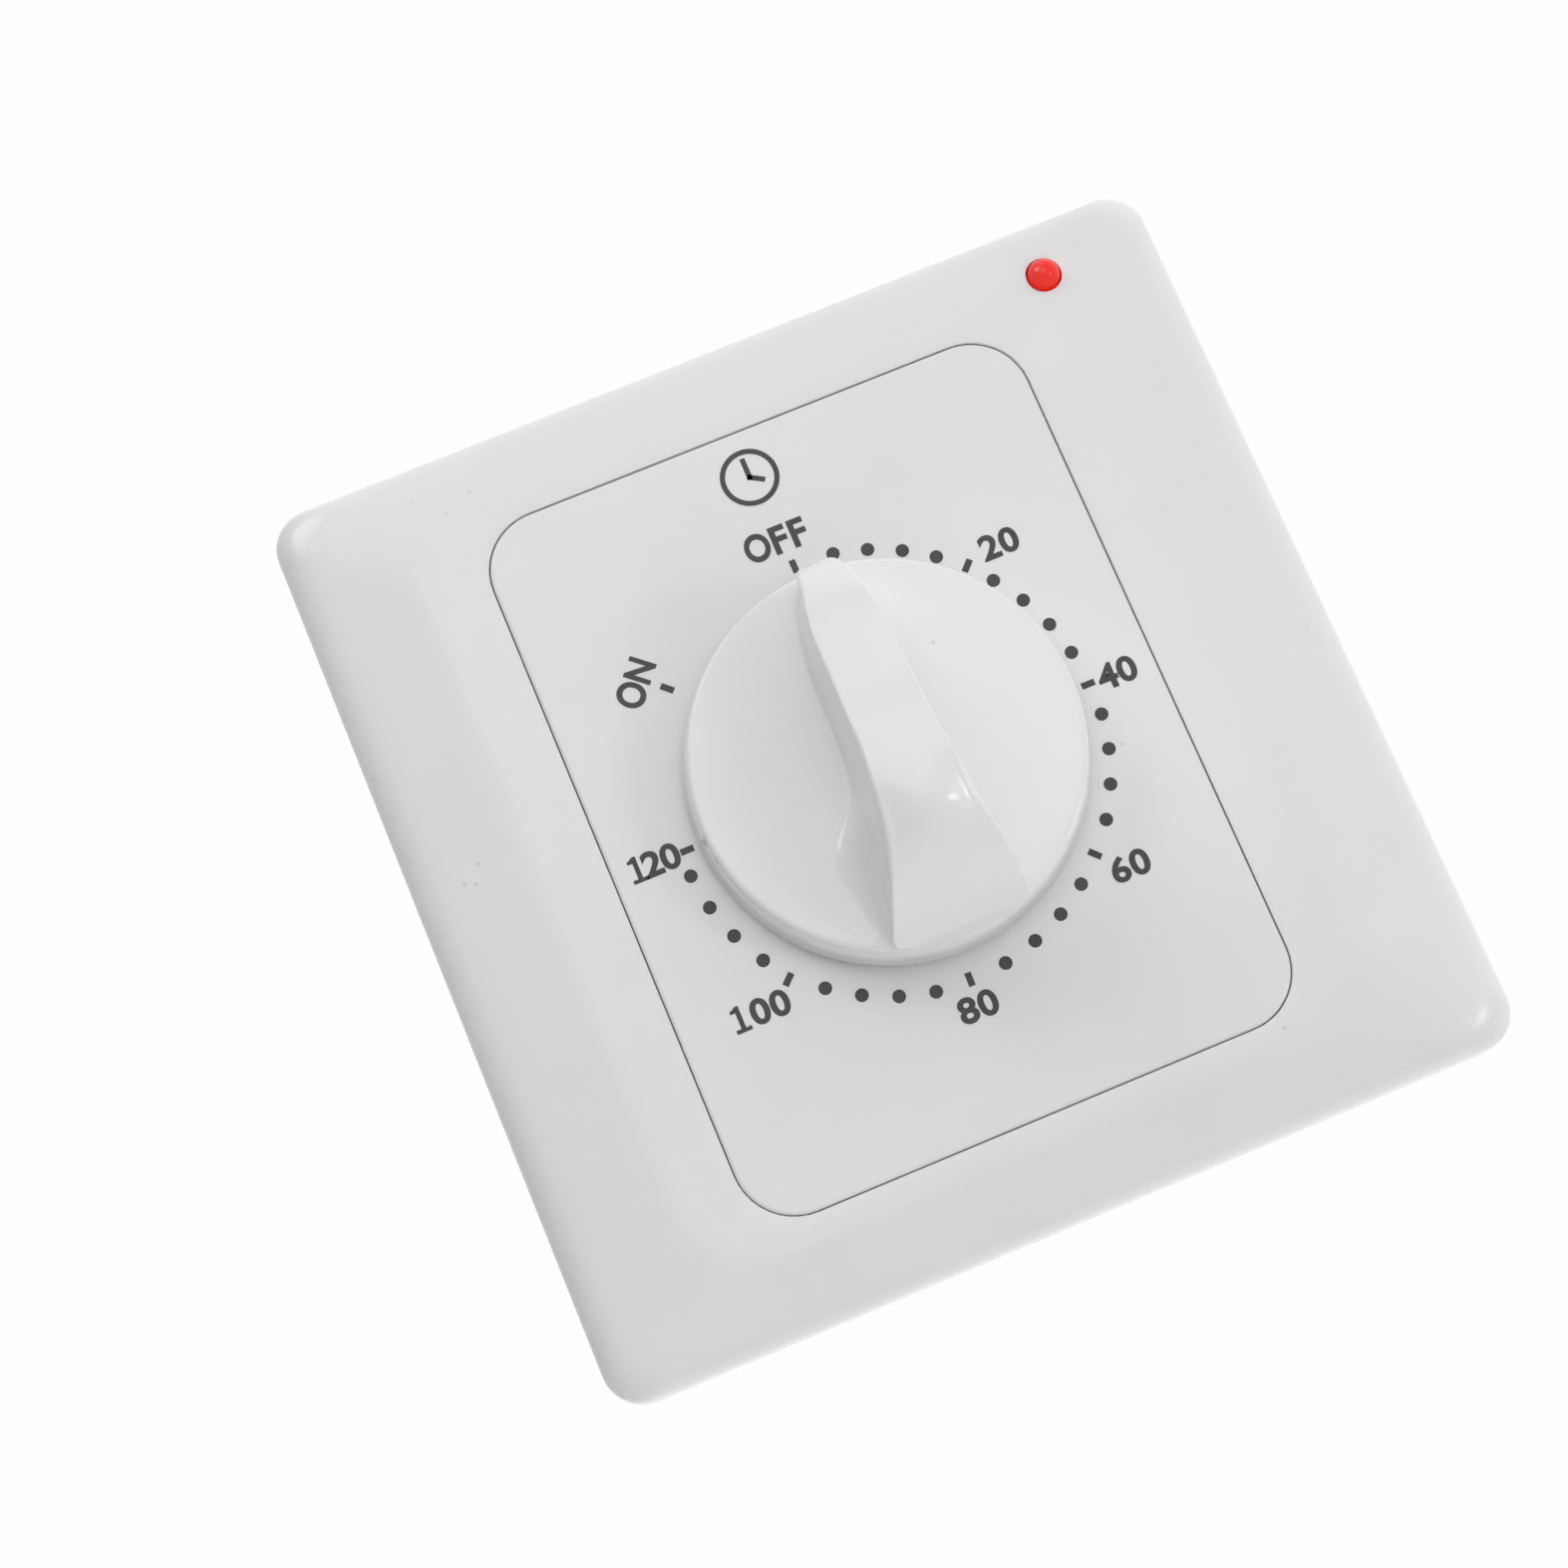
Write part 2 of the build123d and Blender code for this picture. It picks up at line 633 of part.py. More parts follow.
with BuildPart() as second_arbor:
    arbor(second_at)
    toothed(second_at, second_pinion_teeth, main_module, second_turn, *second_pinion_out)
second_arbor.part.label = "second_arbor"
export_step(second_arbor.part, "parts/second_arbor.step")

with BuildPart() as second_wheel:
    wheel_with_holes(second_at, second_teeth, train_module, second_wheel_out, 1.6, 4.1)
second_wheel.part.label = "second_wheel"
export_step(second_wheel.part, "parts/second_wheel.step")

with BuildPart() as third_arbor:
    arbor(third_at)
    toothed(third_at, third_pinion_teeth, train_module, third_turn, *third_pinion_out)
third_arbor.part.label = "third_arbor"
export_step(third_arbor.part, "parts/third_arbor.step")

with BuildPart() as third_wheel:
    wheel_with_holes(third_at, third_teeth, train_module, third_wheel_out, 1.3, 3.5)
third_wheel.part.label = "third_wheel"
export_step(third_wheel.part, "parts/third_wheel.step")

with BuildPart() as escape_arbor:
    arbor(escape_at)
    toothed(escape_at, escape_pinion_teeth, train_module, escape_turn, *escape_pinion_out)
escape_arbor.part.label = "escape_arbor"
export_step(escape_arbor.part, "parts/escape_arbor.step")

# Escape wheel: pointed teeth that lean one way
escape_step = 2 * pi / escape_teeth
with BuildPart() as escape_wheel:
    with BuildSketch(level(escape_wheel_out[0])):
        with BuildLine():
            for tooth in range(escape_teeth):
                start = tooth * escape_step
                tip = around(escape_at, escape_r, start)
                land = around(escape_at, escape_r - 0.1, start + 0.06)
                root = around(escape_at, escape_r - 1.3, start + 0.26)
                Polyline(tip, land, root, around(escape_at, escape_r, start + escape_step))
        make_face()
    extrude(amount=escape_wheel_out[1] - escape_wheel_out[0])
    rounds([escape_at], 2 * arbor_r, escape_wheel_out[0] - arbor_r / 2, escape_wheel_out[1])
    holes = (escape_wheel_out[0] - over, escape_wheel_out[1] + over)
    rounds(ring(escape_at, escape_r / 2, 4), 0.7, *holes, Mode.SUBTRACT)
    rounds([escape_at], arbor_r, *holes, Mode.SUBTRACT)
escape_wheel.part.label = "escape_wheel"
export_step(escape_wheel.part, "parts/escape_wheel.step")

# Pallet lever: its two pins stand either side of the escape wheel
pin_reach = 4.8
pin_spread = radians(49)
pin_r = 0.35
pin_places = [around(pallet_at, pin_reach, pallet_direction + pi + side * pin_spread) for side in (1, -1)]
with BuildPart() as pallet_arbor:
    arbor(pallet_at)
pallet_arbor.part.label = "pallet_arbor"
export_step(pallet_arbor.part, "parts/pallet_arbor.step")

with BuildPart() as pallet_lever:
    with BuildSketch(level(lever_out[0])):
        for place in pin_places:
            with BuildLine():
                Line(pallet_at, place)
            trace(line_width=4 * pin_r)
            with Locations(place):
                Circle(0.8)
        with Locations(pallet_at):
            Circle(4.0)
    extrude(amount=lever_out[1] - lever_out[0])
    rounds([pallet_at], arbor_r, lever_out[0] - over, lever_out[1] + over, Mode.SUBTRACT)
    rounds(pin_places, pin_r, lever_out[0] - over, lever_out[1] + over, Mode.SUBTRACT)
pallet_lever.part.label = "pallet_lever"
export_step(pallet_lever.part, "parts/pallet_lever.step")

with BuildPart() as pallet_pins:
    rounds(pin_places, pin_r, lever_out[0], escape_wheel_out[1] + 0.6)
pallet_pins.part.label = "pallet_pins"
export_step(pallet_pins.part, "parts/pallet_pins.step")

# Switch contacts
rivet_out = (blade_out[0] + blade_out[1]) / 2
strap_z = (moving_z - 0.35 - fixed_thick, moving_z - 0.35)

with BuildPart() as contact_block:
    slab(-18.5, -10.5, 8.0, 16.8, rear_plate[1], -12.5)
    slab(-14.6, -10, moving_z - 0.35, moving_z + 2 * blade_thick, blade_out[0] - 0.3, blade_out[1] + 0.3,
         Mode.SUBTRACT)
    slab(-16, -10, fixed_z, fixed_z + fixed_thick, *blade_out, Mode.SUBTRACT)
    slab(-13.5, -10, *strap_z, rear_plate[1] - over, blade_out[1], Mode.SUBTRACT)
    rounds(contact_screw_places, small_screw_r + 0.03, rear_plate[1] - over, -18.4, Mode.SUBTRACT)
contact_block.part.label = "contact_block"
export_step(contact_block.part, "parts/contact_block.step")

with BuildPart() as contact_block_screws:
    slotted_screws(contact_screw_places, small_screw_r, small_head_r,
                   -18.6, rear_plate[0], rear_plate[0] - small_head_thick)
contact_block_screws.part.label = "contact_block_screws"
export_step(contact_block_screws.part, "parts/contact_block_screws.step")

with BuildPart() as moving_contact_blade:
    follower = [(-14.0, 0.0), (-2.4, 0.0), (-0.8, -2.2), (0.8, -2.2), (2.4, 0.0), (strip_end, 0.0),
                (strip_end, blade_thick), (2.1, blade_thick), (0.6, blade_thick - 2.2),
                (-0.6, blade_thick - 2.2), (-2.1, blade_thick), (-14.0, blade_thick)]
    with BuildSketch(level(blade_out[0])):
        with BuildLine():
            Polyline(*[(x, moving_z + rise) for x, rise in follower], close=True)
        make_face()
    extrude(amount=blade_out[1] - blade_out[0])
    uprights([rivet_x], rivet_out, rivet_r, moving_z - over, moving_z + over, Mode.SUBTRACT)
moving_contact_blade.part.label = "moving_contact_blade"
export_step(moving_contact_blade.part, "parts/moving_contact_blade.step")

with BuildPart() as moving_contact_rivet:
    blade_top = moving_z + blade_thick
    uprights([rivet_x], rivet_out, rivet_r, moving_z - 0.3, blade_top)
    uprights([rivet_x], rivet_out, contact_r, blade_top, blade_top + contact_thick)
    uprights([rivet_x], rivet_out, rivet_back_r, moving_z - blade_thick, moving_z)
moving_contact_rivet.part.label = "moving_contact_rivet"
export_step(moving_contact_rivet.part, "parts/moving_contact_rivet.step")

with BuildPart() as fixed_contact_blade:
    slab(-16, strip_end, fixed_z, fixed_z + fixed_thick, *blade_out)
    slab(-1.5, 1.5, fixed_z, fixed_z + fixed_thick, strap_end, blade_out[0])
    uprights([rivet_x], rivet_out, rivet_r, fixed_z - over, fixed_z + over, Mode.SUBTRACT)
fixed_contact_blade.part.label = "fixed_contact_blade"
export_step(fixed_contact_blade.part, "parts/fixed_contact_blade.step")

with BuildPart() as fixed_contact_rivet:
    uprights([rivet_x], rivet_out, rivet_r, fixed_z, fixed_z + 0.8)
    uprights([rivet_x], rivet_out, contact_r, fixed_z - contact_thick, fixed_z)
    uprights([rivet_x], rivet_out, rivet_back_r, fixed_z + fixed_thick, fixed_z + fixed_thick + 0.4)
fixed_contact_rivet.part.label = "fixed_contact_rivet"
export_step(fixed_contact_rivet.part, "parts/fixed_contact_rivet.step")

with BuildPart() as feed_strap:
    slab(-13.5, -10.6, *strap_z, strap_end, blade_out[1])
feed_strap.part.label = "feed_strap"
export_step(feed_strap.part, "parts/feed_strap.step")

# Terminals on the back of the housing
cage_top = cage_low + cage_side
cage_z = cage_low + cage_side / 2
screw_places = [(x, cage_z) for x in terminal_xs]
with BuildPart() as terminal_block:
    with BuildSketch(level(block_back)):
        with Locations((0, block_z)):
            RectangleRounded(*block_size, 1.5)
    extrude(amount=tub_back - block_back)
    chamfer(terminal_block.faces().sort_by(Axis.Y)[-1].edges(), 0.5)
    half = cage_side / 2 + cage_room
    for x in terminal_xs:
        slab(x - half, x + half, cage_z - half, cage_z + half, cage_back - 0.1, tub_back + over, Mode.SUBTRACT)
    rounds(screw_places, terminal_head_r + 0.2, block_back - over, cage_back + 0.5, Mode.SUBTRACT)
    uprights(terminal_xs, wire_bore_out, wire_bore_r, 0, cage_low + over, Mode.SUBTRACT)
    for x in terminal_xs[1:]:
        slab(x - 0.9, x + 0.9, cage_top, 24.9, tap_out - 1.4, tub_back + over, Mode.SUBTRACT)
    rounds(block_screw_places, 1.2, block_back - over, tub_back + over, Mode.SUBTRACT)
terminal_block.part.label = "terminal_block"
export_step(terminal_block.part, "parts/terminal_block.step")

with BuildPart() as terminal_cages:
    half = cage_side / 2
    for x in terminal_xs:
        slab(x - half, x + half, cage_low, cage_top, cage_back, strap_end)
    rounds(screw_places, terminal_screw_r + 0.02, cage_back - over, wire_bore_out, Mode.SUBTRACT)
    uprights(terminal_xs, wire_bore_out, wire_bore_r, cage_low - over, wire_bore_end, Mode.SUBTRACT)
terminal_cages.part.label = "terminal_cages"
export_step(terminal_cages.part, "parts/terminal_cages.step")

with BuildPart() as terminal_screws:
    slotted_screws(screw_places, terminal_screw_r, terminal_head_r,
                   wire_bore_out - wire_bore_r - 0.2, terminal_seat_out, terminal_seat_out - head_thick)
terminal_screws.part.label = "terminal_screws"
export_step(terminal_screws.part, "parts/terminal_screws.step")

with BuildPart() as terminal_block_screws:
    slotted_screws(block_screw_places, 1.05, 2.0,
                   tub_floor - 0.1, block_back, block_back - small_head_thick)
terminal_block_screws.part.label = "terminal_block_screws"
export_step(terminal_block_screws.part, "parts/terminal_block_screws.step")

# Indicator lamp with its series resistor and wires
with BuildPart() as indicator_lamp:
    rounds([(lamp_x, lamp_z)], lamp_flange_r, lamp_seat_out, lamp_seat_out + lamp_flange_thick)
    rounds([(lamp_x, lamp_z)], lamp_r, lamp_seat_out, lamp_top_out)
    fillet(indicator_lamp.faces().sort_by(Axis.Y)[0].edges(), lamp_r - 0.05)
indicator_lamp.part.label = "indicator_lamp"
export_step(indicator_lamp.part, "parts/indicator_lamp.step")

leg_out = wire_out - 0.1
with BuildPart() as lamp_legs:
    for side in (1, -1):
        leg_z = lamp_z + side * leg_pitch / 2
        points = [(lamp_x, -lamp_seat_out, leg_z), (lamp_x, -leg_out, leg_z), (leg_end_x, -leg_out, leg_z)]
        with BuildLine() as leg_path:
            FilletPolyline(*points, radius=lamp_leg_bend)
        leg_run = leg_path.wires()[0]
        with BuildSketch(Plane(origin=leg_run @ 0, z_dir=leg_run % 0)):
            Circle(lamp_leg_r)
        sweep(path=leg_run)
lamp_legs.part.label = "lamp_legs"
export_step(lamp_legs.part, "parts/lamp_legs.step")

with BuildPart() as lamp_resistor:
    for start, length, radius in ((2.5, 6.3, resistor_r), (1.0, 9.3, resistor_lead_r)):
        with BuildSketch(Plane.YZ.offset(start)):
            with Locations((-wire_out, resistor_z)):
                Circle(radius)
        extrude(amount=length)
lamp_resistor.part.label = "lamp_resistor"
export_step(lamp_resistor.part, "parts/lamp_resistor.step")

upper_leg = (leg_end_x, leg_out, lamp_z + leg_pitch / 2)
lower_leg = (leg_end_x, leg_out, lamp_z - leg_pitch / 2)

with BuildPart() as lamp_feed_wire:
    wire([upper_leg, (24.0, wire_out, 38.2), (21.2, wire_out, 36.2), (20.3, wire_out, 32.4),
          (20.3, wire_out, 28.9), (18.2, wire_out, 26.2), (14.4, wire_out, 25.6),
          (10.3, wire_out, resistor_z)], wire_r)
lamp_feed_wire.part.label = "lamp_feed_wire"
export_step(lamp_feed_wire.part, "parts/lamp_feed_wire.step")

with BuildPart() as lamp_load_wire:
    wire([(1.0, wire_out, resistor_z), (-1.6, wire_out, 26.4), (-3.2, wire_out - 0.4, 24.9),
          (-3.3, wire_out - 3.2, wire_z), (-3.1, -6, wire_z + 0.1), (-2.4, -14, wire_z),
          (-0.3, -21, wire_z + 0.1), (0, tap_out, wire_z - 0.4), (0, tap_out, cage_top + 0.1)], wire_r)
lamp_load_wire.part.label = "lamp_load_wire"
export_step(lamp_load_wire.part, "parts/lamp_load_wire.step")

with BuildPart() as lamp_neutral_wire:
    wire([lower_leg, (24.2, wire_out, 35.3), (22.6, wire_out, 32.6), (22.2, wire_out, 29.2),
          (21.2, wire_out, 26.0), (18.4, wire_out, 24.1), (15.2, wire_out, 23.9),
          (12.8, wire_out - 0.6, wire_z), (12.0, wire_out - 3.4, wire_z), (12.1, -6, wire_z + 0.1),
          (11.9, -14, wire_z), (12.1, -21, wire_z + 0.1), (12, tap_out, wire_z - 0.4),
          (12, tap_out, cage_top + 0.1)], wire_r)
lamp_neutral_wire.part.label = "lamp_neutral_wire"
export_step(lamp_neutral_wire.part, "parts/lamp_neutral_wire.step")

# Grip ridge, lofted from the pointer tip to the tail and cut round at both ends
ridge_top_out = max(values[3] for values in ridge_sections)
with BuildPart() as grip_ridge:
    loft([ridge_section(*values) for values in ridge_sections])
    rounds([(0, 0)], ridge_reach, ridge_foot_out - over, ridge_top_out + over, Mode.INTERSECT)

# Knob: a hollow disc, the ridge, and a hub that runs up inside the ridge
knob_back = face_out + knob_gap
with BuildPart() as knob:
    with BuildSketch(Plane.XY):
        with BuildLine():
            Polyline((0, -knob_back), (disc_r, -knob_back), (disc_top_r, -disc_top_out), (0, -disc_top_out),
                     close=True)
        make_face()
    revolve(axis=Axis.Y)
    fillet(knob.edges().filter_by_position(Axis.Y, -disc_top_out - 0.1, -disc_top_out + 0.1), disc_round)
    add(grip_ridge.part)
    rounds([(0, 0)], disc_r - disc_wall, knob_back - over, disc_top_out - 1.9, Mode.SUBTRACT)
    slab(-ridge_hollow_half, ridge_hollow_half, *ridge_hollow, disc_top_out - 2.5, ridge_hollow_out,
         Mode.SUBTRACT)
    rounds([(0, 0)], hub_r, knob_back, disc_top_out - 0.5)
    rounds([(0, 0)], stem_r, knob_back, shaft_end_out + 1.2)
    rounds([(0, 0)], shaft_r + bore_gap, knob_back - over, shaft_end_out + 0.4, Mode.SUBTRACT)
    slab(-shaft_r, shaft_r, shaft_flat + clip_thick + bore_gap, shaft_r + 0.5, knob_back, shaft_end_out + 0.5)
knob.part.label = "knob"
export_step(knob.part, "parts/knob.step")

# Leaf spring between the shaft's flat and the hub
with BuildPart() as knob_spring_clip:
    slab(-clip_width / 2, clip_width / 2, shaft_flat + 0.01, shaft_flat + clip_thick,
         knob_back + 0.8, shaft_end_out - 0.6)
knob_spring_clip.part.label = "knob_spring_clip"
export_step(knob_spring_clip.part, "parts/knob_spring_clip.step")
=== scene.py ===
"""Looks of the timer light switch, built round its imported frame.

The wall is the XZ plane at Y = 0, +Z is up and the room is on the -Y side. Places on the switch
are written as x, out and z, where out is how far in front of the wall a point stands, so Y = -out.
"""
import json
import math

import bmesh
import bpy
from bpy.props import FloatProperty, FloatVectorProperty, IntProperty, PointerProperty
from mathutils import Matrix, Quaternion, Vector


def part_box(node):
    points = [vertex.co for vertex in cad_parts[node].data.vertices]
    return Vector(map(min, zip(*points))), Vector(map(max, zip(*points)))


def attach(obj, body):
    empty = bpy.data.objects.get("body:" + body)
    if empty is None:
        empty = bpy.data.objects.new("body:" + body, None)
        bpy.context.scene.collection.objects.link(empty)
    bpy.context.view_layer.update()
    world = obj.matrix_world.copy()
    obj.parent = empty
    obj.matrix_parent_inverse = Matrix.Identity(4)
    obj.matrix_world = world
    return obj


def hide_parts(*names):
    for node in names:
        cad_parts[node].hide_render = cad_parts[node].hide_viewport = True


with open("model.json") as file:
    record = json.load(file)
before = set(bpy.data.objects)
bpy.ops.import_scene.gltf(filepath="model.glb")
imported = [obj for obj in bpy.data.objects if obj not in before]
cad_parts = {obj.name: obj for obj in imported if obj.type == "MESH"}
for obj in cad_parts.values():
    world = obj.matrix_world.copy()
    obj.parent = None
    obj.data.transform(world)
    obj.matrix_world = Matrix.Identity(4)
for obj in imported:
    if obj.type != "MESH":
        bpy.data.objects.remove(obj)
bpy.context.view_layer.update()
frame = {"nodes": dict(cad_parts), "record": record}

bl_info = {
    "name": "Timer Light Switch",
    "version": (1, 0, 0),
    "blender": (4, 5, 0),
    "location": "3D View > Sidebar > Timer Switch",
    "description": "Wall plate with a printed dial, a grip knob, a lamp and a clockwork switch",
    "category": "Add Mesh",
}

MM = 0.001
cover_low, cover_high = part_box("surround_cover")
panel_low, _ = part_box("face_panel")
_, knob_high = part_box("knob")
lamp_low, lamp_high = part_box("indicator_lamp")
lamp_centre = (lamp_low + lamp_high) / 2


def length(name, description, default):
    """Length property whose default is written in metres."""
    return FloatProperty(name=name, description=description, default=default, unit="LENGTH", precision=5)


def colour(name, description, default):
    """Colour property."""
    return FloatVectorProperty(name=name, description=description, default=default, subtype="COLOR",
                               size=3, min=0.0, max=1.0)


class PlateSizes(bpy.types.PropertyGroup):
    """Sizes of the outer frame."""
    side: length("Side", "Width and height of the plate", cover_high.x - cover_low.x)
    corner: length("Corner", "Plan radius of the plate's corners", 3.5 * MM)
    face_out: length("Face", "How far the face stands in front of the wall", -cover_low.y)
    fall: length("Fall", "How far the face falls from the crease to the rim", 2.0 * MM)
    crest_width: length("Crest width", "Width of the flat zone round the panel", 63.6 * MM)
    crest_height: length("Crest height", "Height of the flat zone round the panel", 73.0 * MM)
    crest_corner: length("Crest corner", "Plan radius of the flat zone's corners", 7.0 * MM)
    rim_round: length("Rim round", "Radius of the outer edge", 3.0 * MM)
    wall: length("Wall", "Thickness of the moulding", 2.0 * MM)
    opening_width: length("Opening width", "Width of the opening for the panel", 52.2 * MM)
    opening_height: length("Opening height", "Height of the opening for the panel", 67.7 * MM)
    opening_corner: length("Opening corner", "Plan radius of the opening's corners", 5.6 * MM)


class KnobSizes(bpy.types.PropertyGroup):
    """Sizes of the knob."""
    radius: length("Radius", "Radius at the foot of the disc", knob_high.x)
    top_radius: length("Top radius", "Radius at the top of the disc", 17.5 * MM)
    back_out: length("Back", "Level of the disc's underside", -knob_high.y)
    top_out: length("Top", "Level of the disc's top", 14.9 * MM)
    edge_round: length("Edge round", "Radius of the disc's upper edge", 0.5 * MM)
    crest_round: length("Crest round", "Radius of the edges of the ridge's crest", 0.45 * MM)


class DialSizes(bpy.types.PropertyGroup):
    """Sizes of the printed dial."""
    dot_radius: length("Dot radius", "Radius of one dot", 0.61 * MM)
    dots_per_gap: IntProperty(name="Dots per gap", description="Dots between two marks", default=4, min=2)
    mark_length: length("Mark length", "Length of a radial mark", 1.25 * MM)
    mark_width: length("Mark width", "Width of a radial mark", 0.6 * MM)
    ink_depth: length("Ink depth", "Thickness of the printed ink", 0.02 * MM)
    digit_height: length("Digit height", "Height of a printed digit", 2.4 * MM)
    clock_radius: length("Clock radius", "Radius of the printed clock sign", 2.7 * MM)
    clock_line: length("Clock line", "Width of the clock sign's lines", 0.48 * MM)


class SwitchColours(bpy.types.PropertyGroup):
    """Colours of the mouldings, the ink and the lamp."""
    plate: colour("Plate", "White moulding of the plate and the panel", (0.78, 0.785, 0.79))
    knob: colour("Knob", "White moulding of the knob", (0.80, 0.805, 0.81))
    ink: colour("Ink", "Printed ink", (0.028, 0.028, 0.030))
    lamp: colour("Lamp", "Tinted resin of the lamp", (0.92, 0.020, 0.005))
    housing: colour("Housing", "Dark moulding behind the wall plane", (0.030, 0.031, 0.034))
    floor: colour("Floor", "Floor", (0.86, 0.86, 0.86))


def sizes_of(kind):
    """Property group of the scene by its short name."""
    return getattr(bpy.context.scene, "timer_switch_" + kind)


# Mesh helpers

def spot(x, out, z):
    """Point at x, out and z."""
    return Vector((x, -out, z))


def polar(radius, turn):
    """x and z at a radius and a clockwise turn in degrees from the top of the dial."""
    angle = math.radians(turn)
    return radius * math.sin(angle), radius * math.cos(angle)


def add_object(name, data):
    """Object of the scene for a mesh, a curve, a light or a camera."""
    made = bpy.data.objects.new(name, data)
    bpy.context.scene.collection.objects.link(made)
    return made


def soften(bm, degrees):
    """Smooth shading, with edges sharper than an angle kept crisp."""
    for face in bm.faces:
        face.smooth = True
    for edge in bm.edges:
        edge.smooth = edge.calc_face_angle(0.0) < math.radians(degrees)


def plain_mesh(name, bm):
    """Mesh made from a bmesh, which is freed."""
    mesh = bpy.data.meshes.new(name)
    bm.to_mesh(mesh)
    bm.free()
    return mesh


def finish_mesh(name, bm, material, body="plate", stands_for=(), crisp=32.0):
    """Turns a bmesh into a piece that rides on a body."""
    bmesh.ops.remove_doubles(bm, verts=bm.verts, dist=1e-7)
    bmesh.ops.recalc_face_normals(bm, faces=bm.faces)
    soften(bm, crisp)
    add_piece(name, plain_mesh(name, bm), material, body, stands_for)


def add_piece(name, mesh, material, body="plate", stands_for=()):
    """Links a mesh as a piece, with its material, body and slot."""
    mesh.materials.clear()
    mesh.materials.append(material)
    piece = add_object(name, mesh)
    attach(piece, body)
    if stands_for:
        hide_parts(*stands_for)


def rounded_outline(width, height, corner, steps=10):
    """Points (x, z) round a rectangle with rounded corners, the same count for every size."""
    points = []
    for side_x, side_z, start in ((1, 1, 0), (-1, 1, 90), (-1, -1, 180), (1, -1, 270)):
        centre_x = side_x * (width / 2 - corner)
        centre_z = side_z * (height / 2 - corner)
        for step in range(steps + 1):
            angle = math.radians(start + 90 * step / steps)
            points.append((centre_x + corner * math.cos(angle), centre_z + corner * math.sin(angle)))
    return points


def add_rings(bm, rings, closed=False, capped=False):
    """Skins rings of points, each with the same count."""
    made = [[bm.verts.new(point) for point in ring] for ring in rings]
    pairs = list(zip(made, made[1:]))
    if closed:
        pairs.append((made[-1], made[0]))
    for low, high in pairs:
        count = len(low)
        for k in range(count):
            bm.faces.new((low[k], low[(k + 1) % count], high[(k + 1) % count], high[k]))
    if capped:
        bm.faces.new(list(reversed(made[0])))
        bm.faces.new(made[-1])


def turned_solid(profile, segments, centre=(0.0, 0.0)):
    """New bmesh of (radius, out) points turned about an axis along Y; a radius of 0 closes on the axis."""
    bm = bmesh.new()
    rings = []
    for radius, out in profile:
        ring = []
        for k in range(segments if radius > 0.0 else 1):
            angle = 2 * math.pi * k / segments
            ring.append(bm.verts.new(spot(centre[0] + radius * math.cos(angle), out,
                                          centre[1] + radius * math.sin(angle))))
        rings.append(ring)
    for low, high in zip(rings, rings[1:]):
        for k in range(segments):
            after = (k + 1) % segments
            if len(low) == 1:
                bm.faces.new((low[0], high[after], high[k]))
            elif len(high) == 1:
                bm.faces.new((low[k], low[after], high[0]))
            else:
                bm.faces.new((low[k], low[after], high[after], high[k]))
    return bm


def box_solid(xs, zs, outs):
    """New bmesh of a box between two x, two z and two out values, in millimetres."""
    bm = bmesh.new()
    ends = [(xs[0], zs[0]), (xs[1], zs[0]), (xs[1], zs[1]), (xs[0], zs[1])]
    add_rings(bm, [[spot(x * MM, out * MM, z * MM) for x, z in ends] for out in outs], capped=True)
    return bm


def quarter(centre_radius, centre_out, radius, start, end, steps=6):
    """Arc of (radius, out) points, with angles in degrees from straight out of the wall."""
    points = []
    for step in range(steps + 1):
        angle = math.radians(start + (end - start) * step / steps)
        points.append((centre_radius + radius * math.sin(angle), centre_out + radius * math.cos(angle)))
    return points


def join_solids(base, tool, operation):
    """Boolean of two bmeshes, as a new bmesh."""
    holders = []
    for bm in (base, tool):
        bmesh.ops.recalc_face_normals(bm, faces=bm.faces)
        holders.append(add_object("solid_in_work", plain_mesh("solid_in_work", bm)))
    cut = holders[0].modifiers.new("cut", "BOOLEAN")
    cut.operation = operation
    cut.solver = "EXACT"
    cut.object = holders[1]
    graph = bpy.context.evaluated_depsgraph_get()
    result = bmesh.new()
    result.from_mesh(holders[0].evaluated_get(graph).to_mesh())
    for holder in holders:
        mesh = holder.data
        bpy.data.objects.remove(holder)
        bpy.data.meshes.remove(mesh)
    return result


def steady_curve(knots, place):
    """Value at a place between knots (place, value), without overshoot."""
    slopes = [(b[1] - a[1]) / (b[0] - a[0]) for a, b in zip(knots, knots[1:])]
    leans = [slopes[0]]
    for before, after in zip(slopes, slopes[1:]):
        leans.append(2 * before * after / (before + after) if before * after > 0 else 0.0)
    leans.append(slopes[-1])
    k = 0
    while k < len(knots) - 2 and place > knots[k + 1][0]:
        k += 1
    span = knots[k + 1][0] - knots[k][0]
    t = min(1.0, max(0.0, (place - knots[k][0]) / span))
    low, high = knots[k][1], knots[k + 1][1]
    return ((2 * t ** 3 - 3 * t ** 2 + 1) * low + (t ** 3 - 2 * t ** 2 + t) * span * leans[k]
            + (3 * t ** 2 - 2 * t ** 3) * high + (t ** 3 - t ** 2) * span * leans[k + 1])


def bezier(p0, p1, p2, p3, steps):
    """Points along a cubic Bezier curve, without the last one."""
    points = []
    for step in range(steps):
        t = step / steps
        s = 1 - t
        points.append(tuple(s ** 3 * a + 3 * s * s * t * b + 3 * s * t * t * c + t ** 3 * d
                            for a, b, c, d in zip(p0, p1, p2, p3)))
    return points


# Node helpers

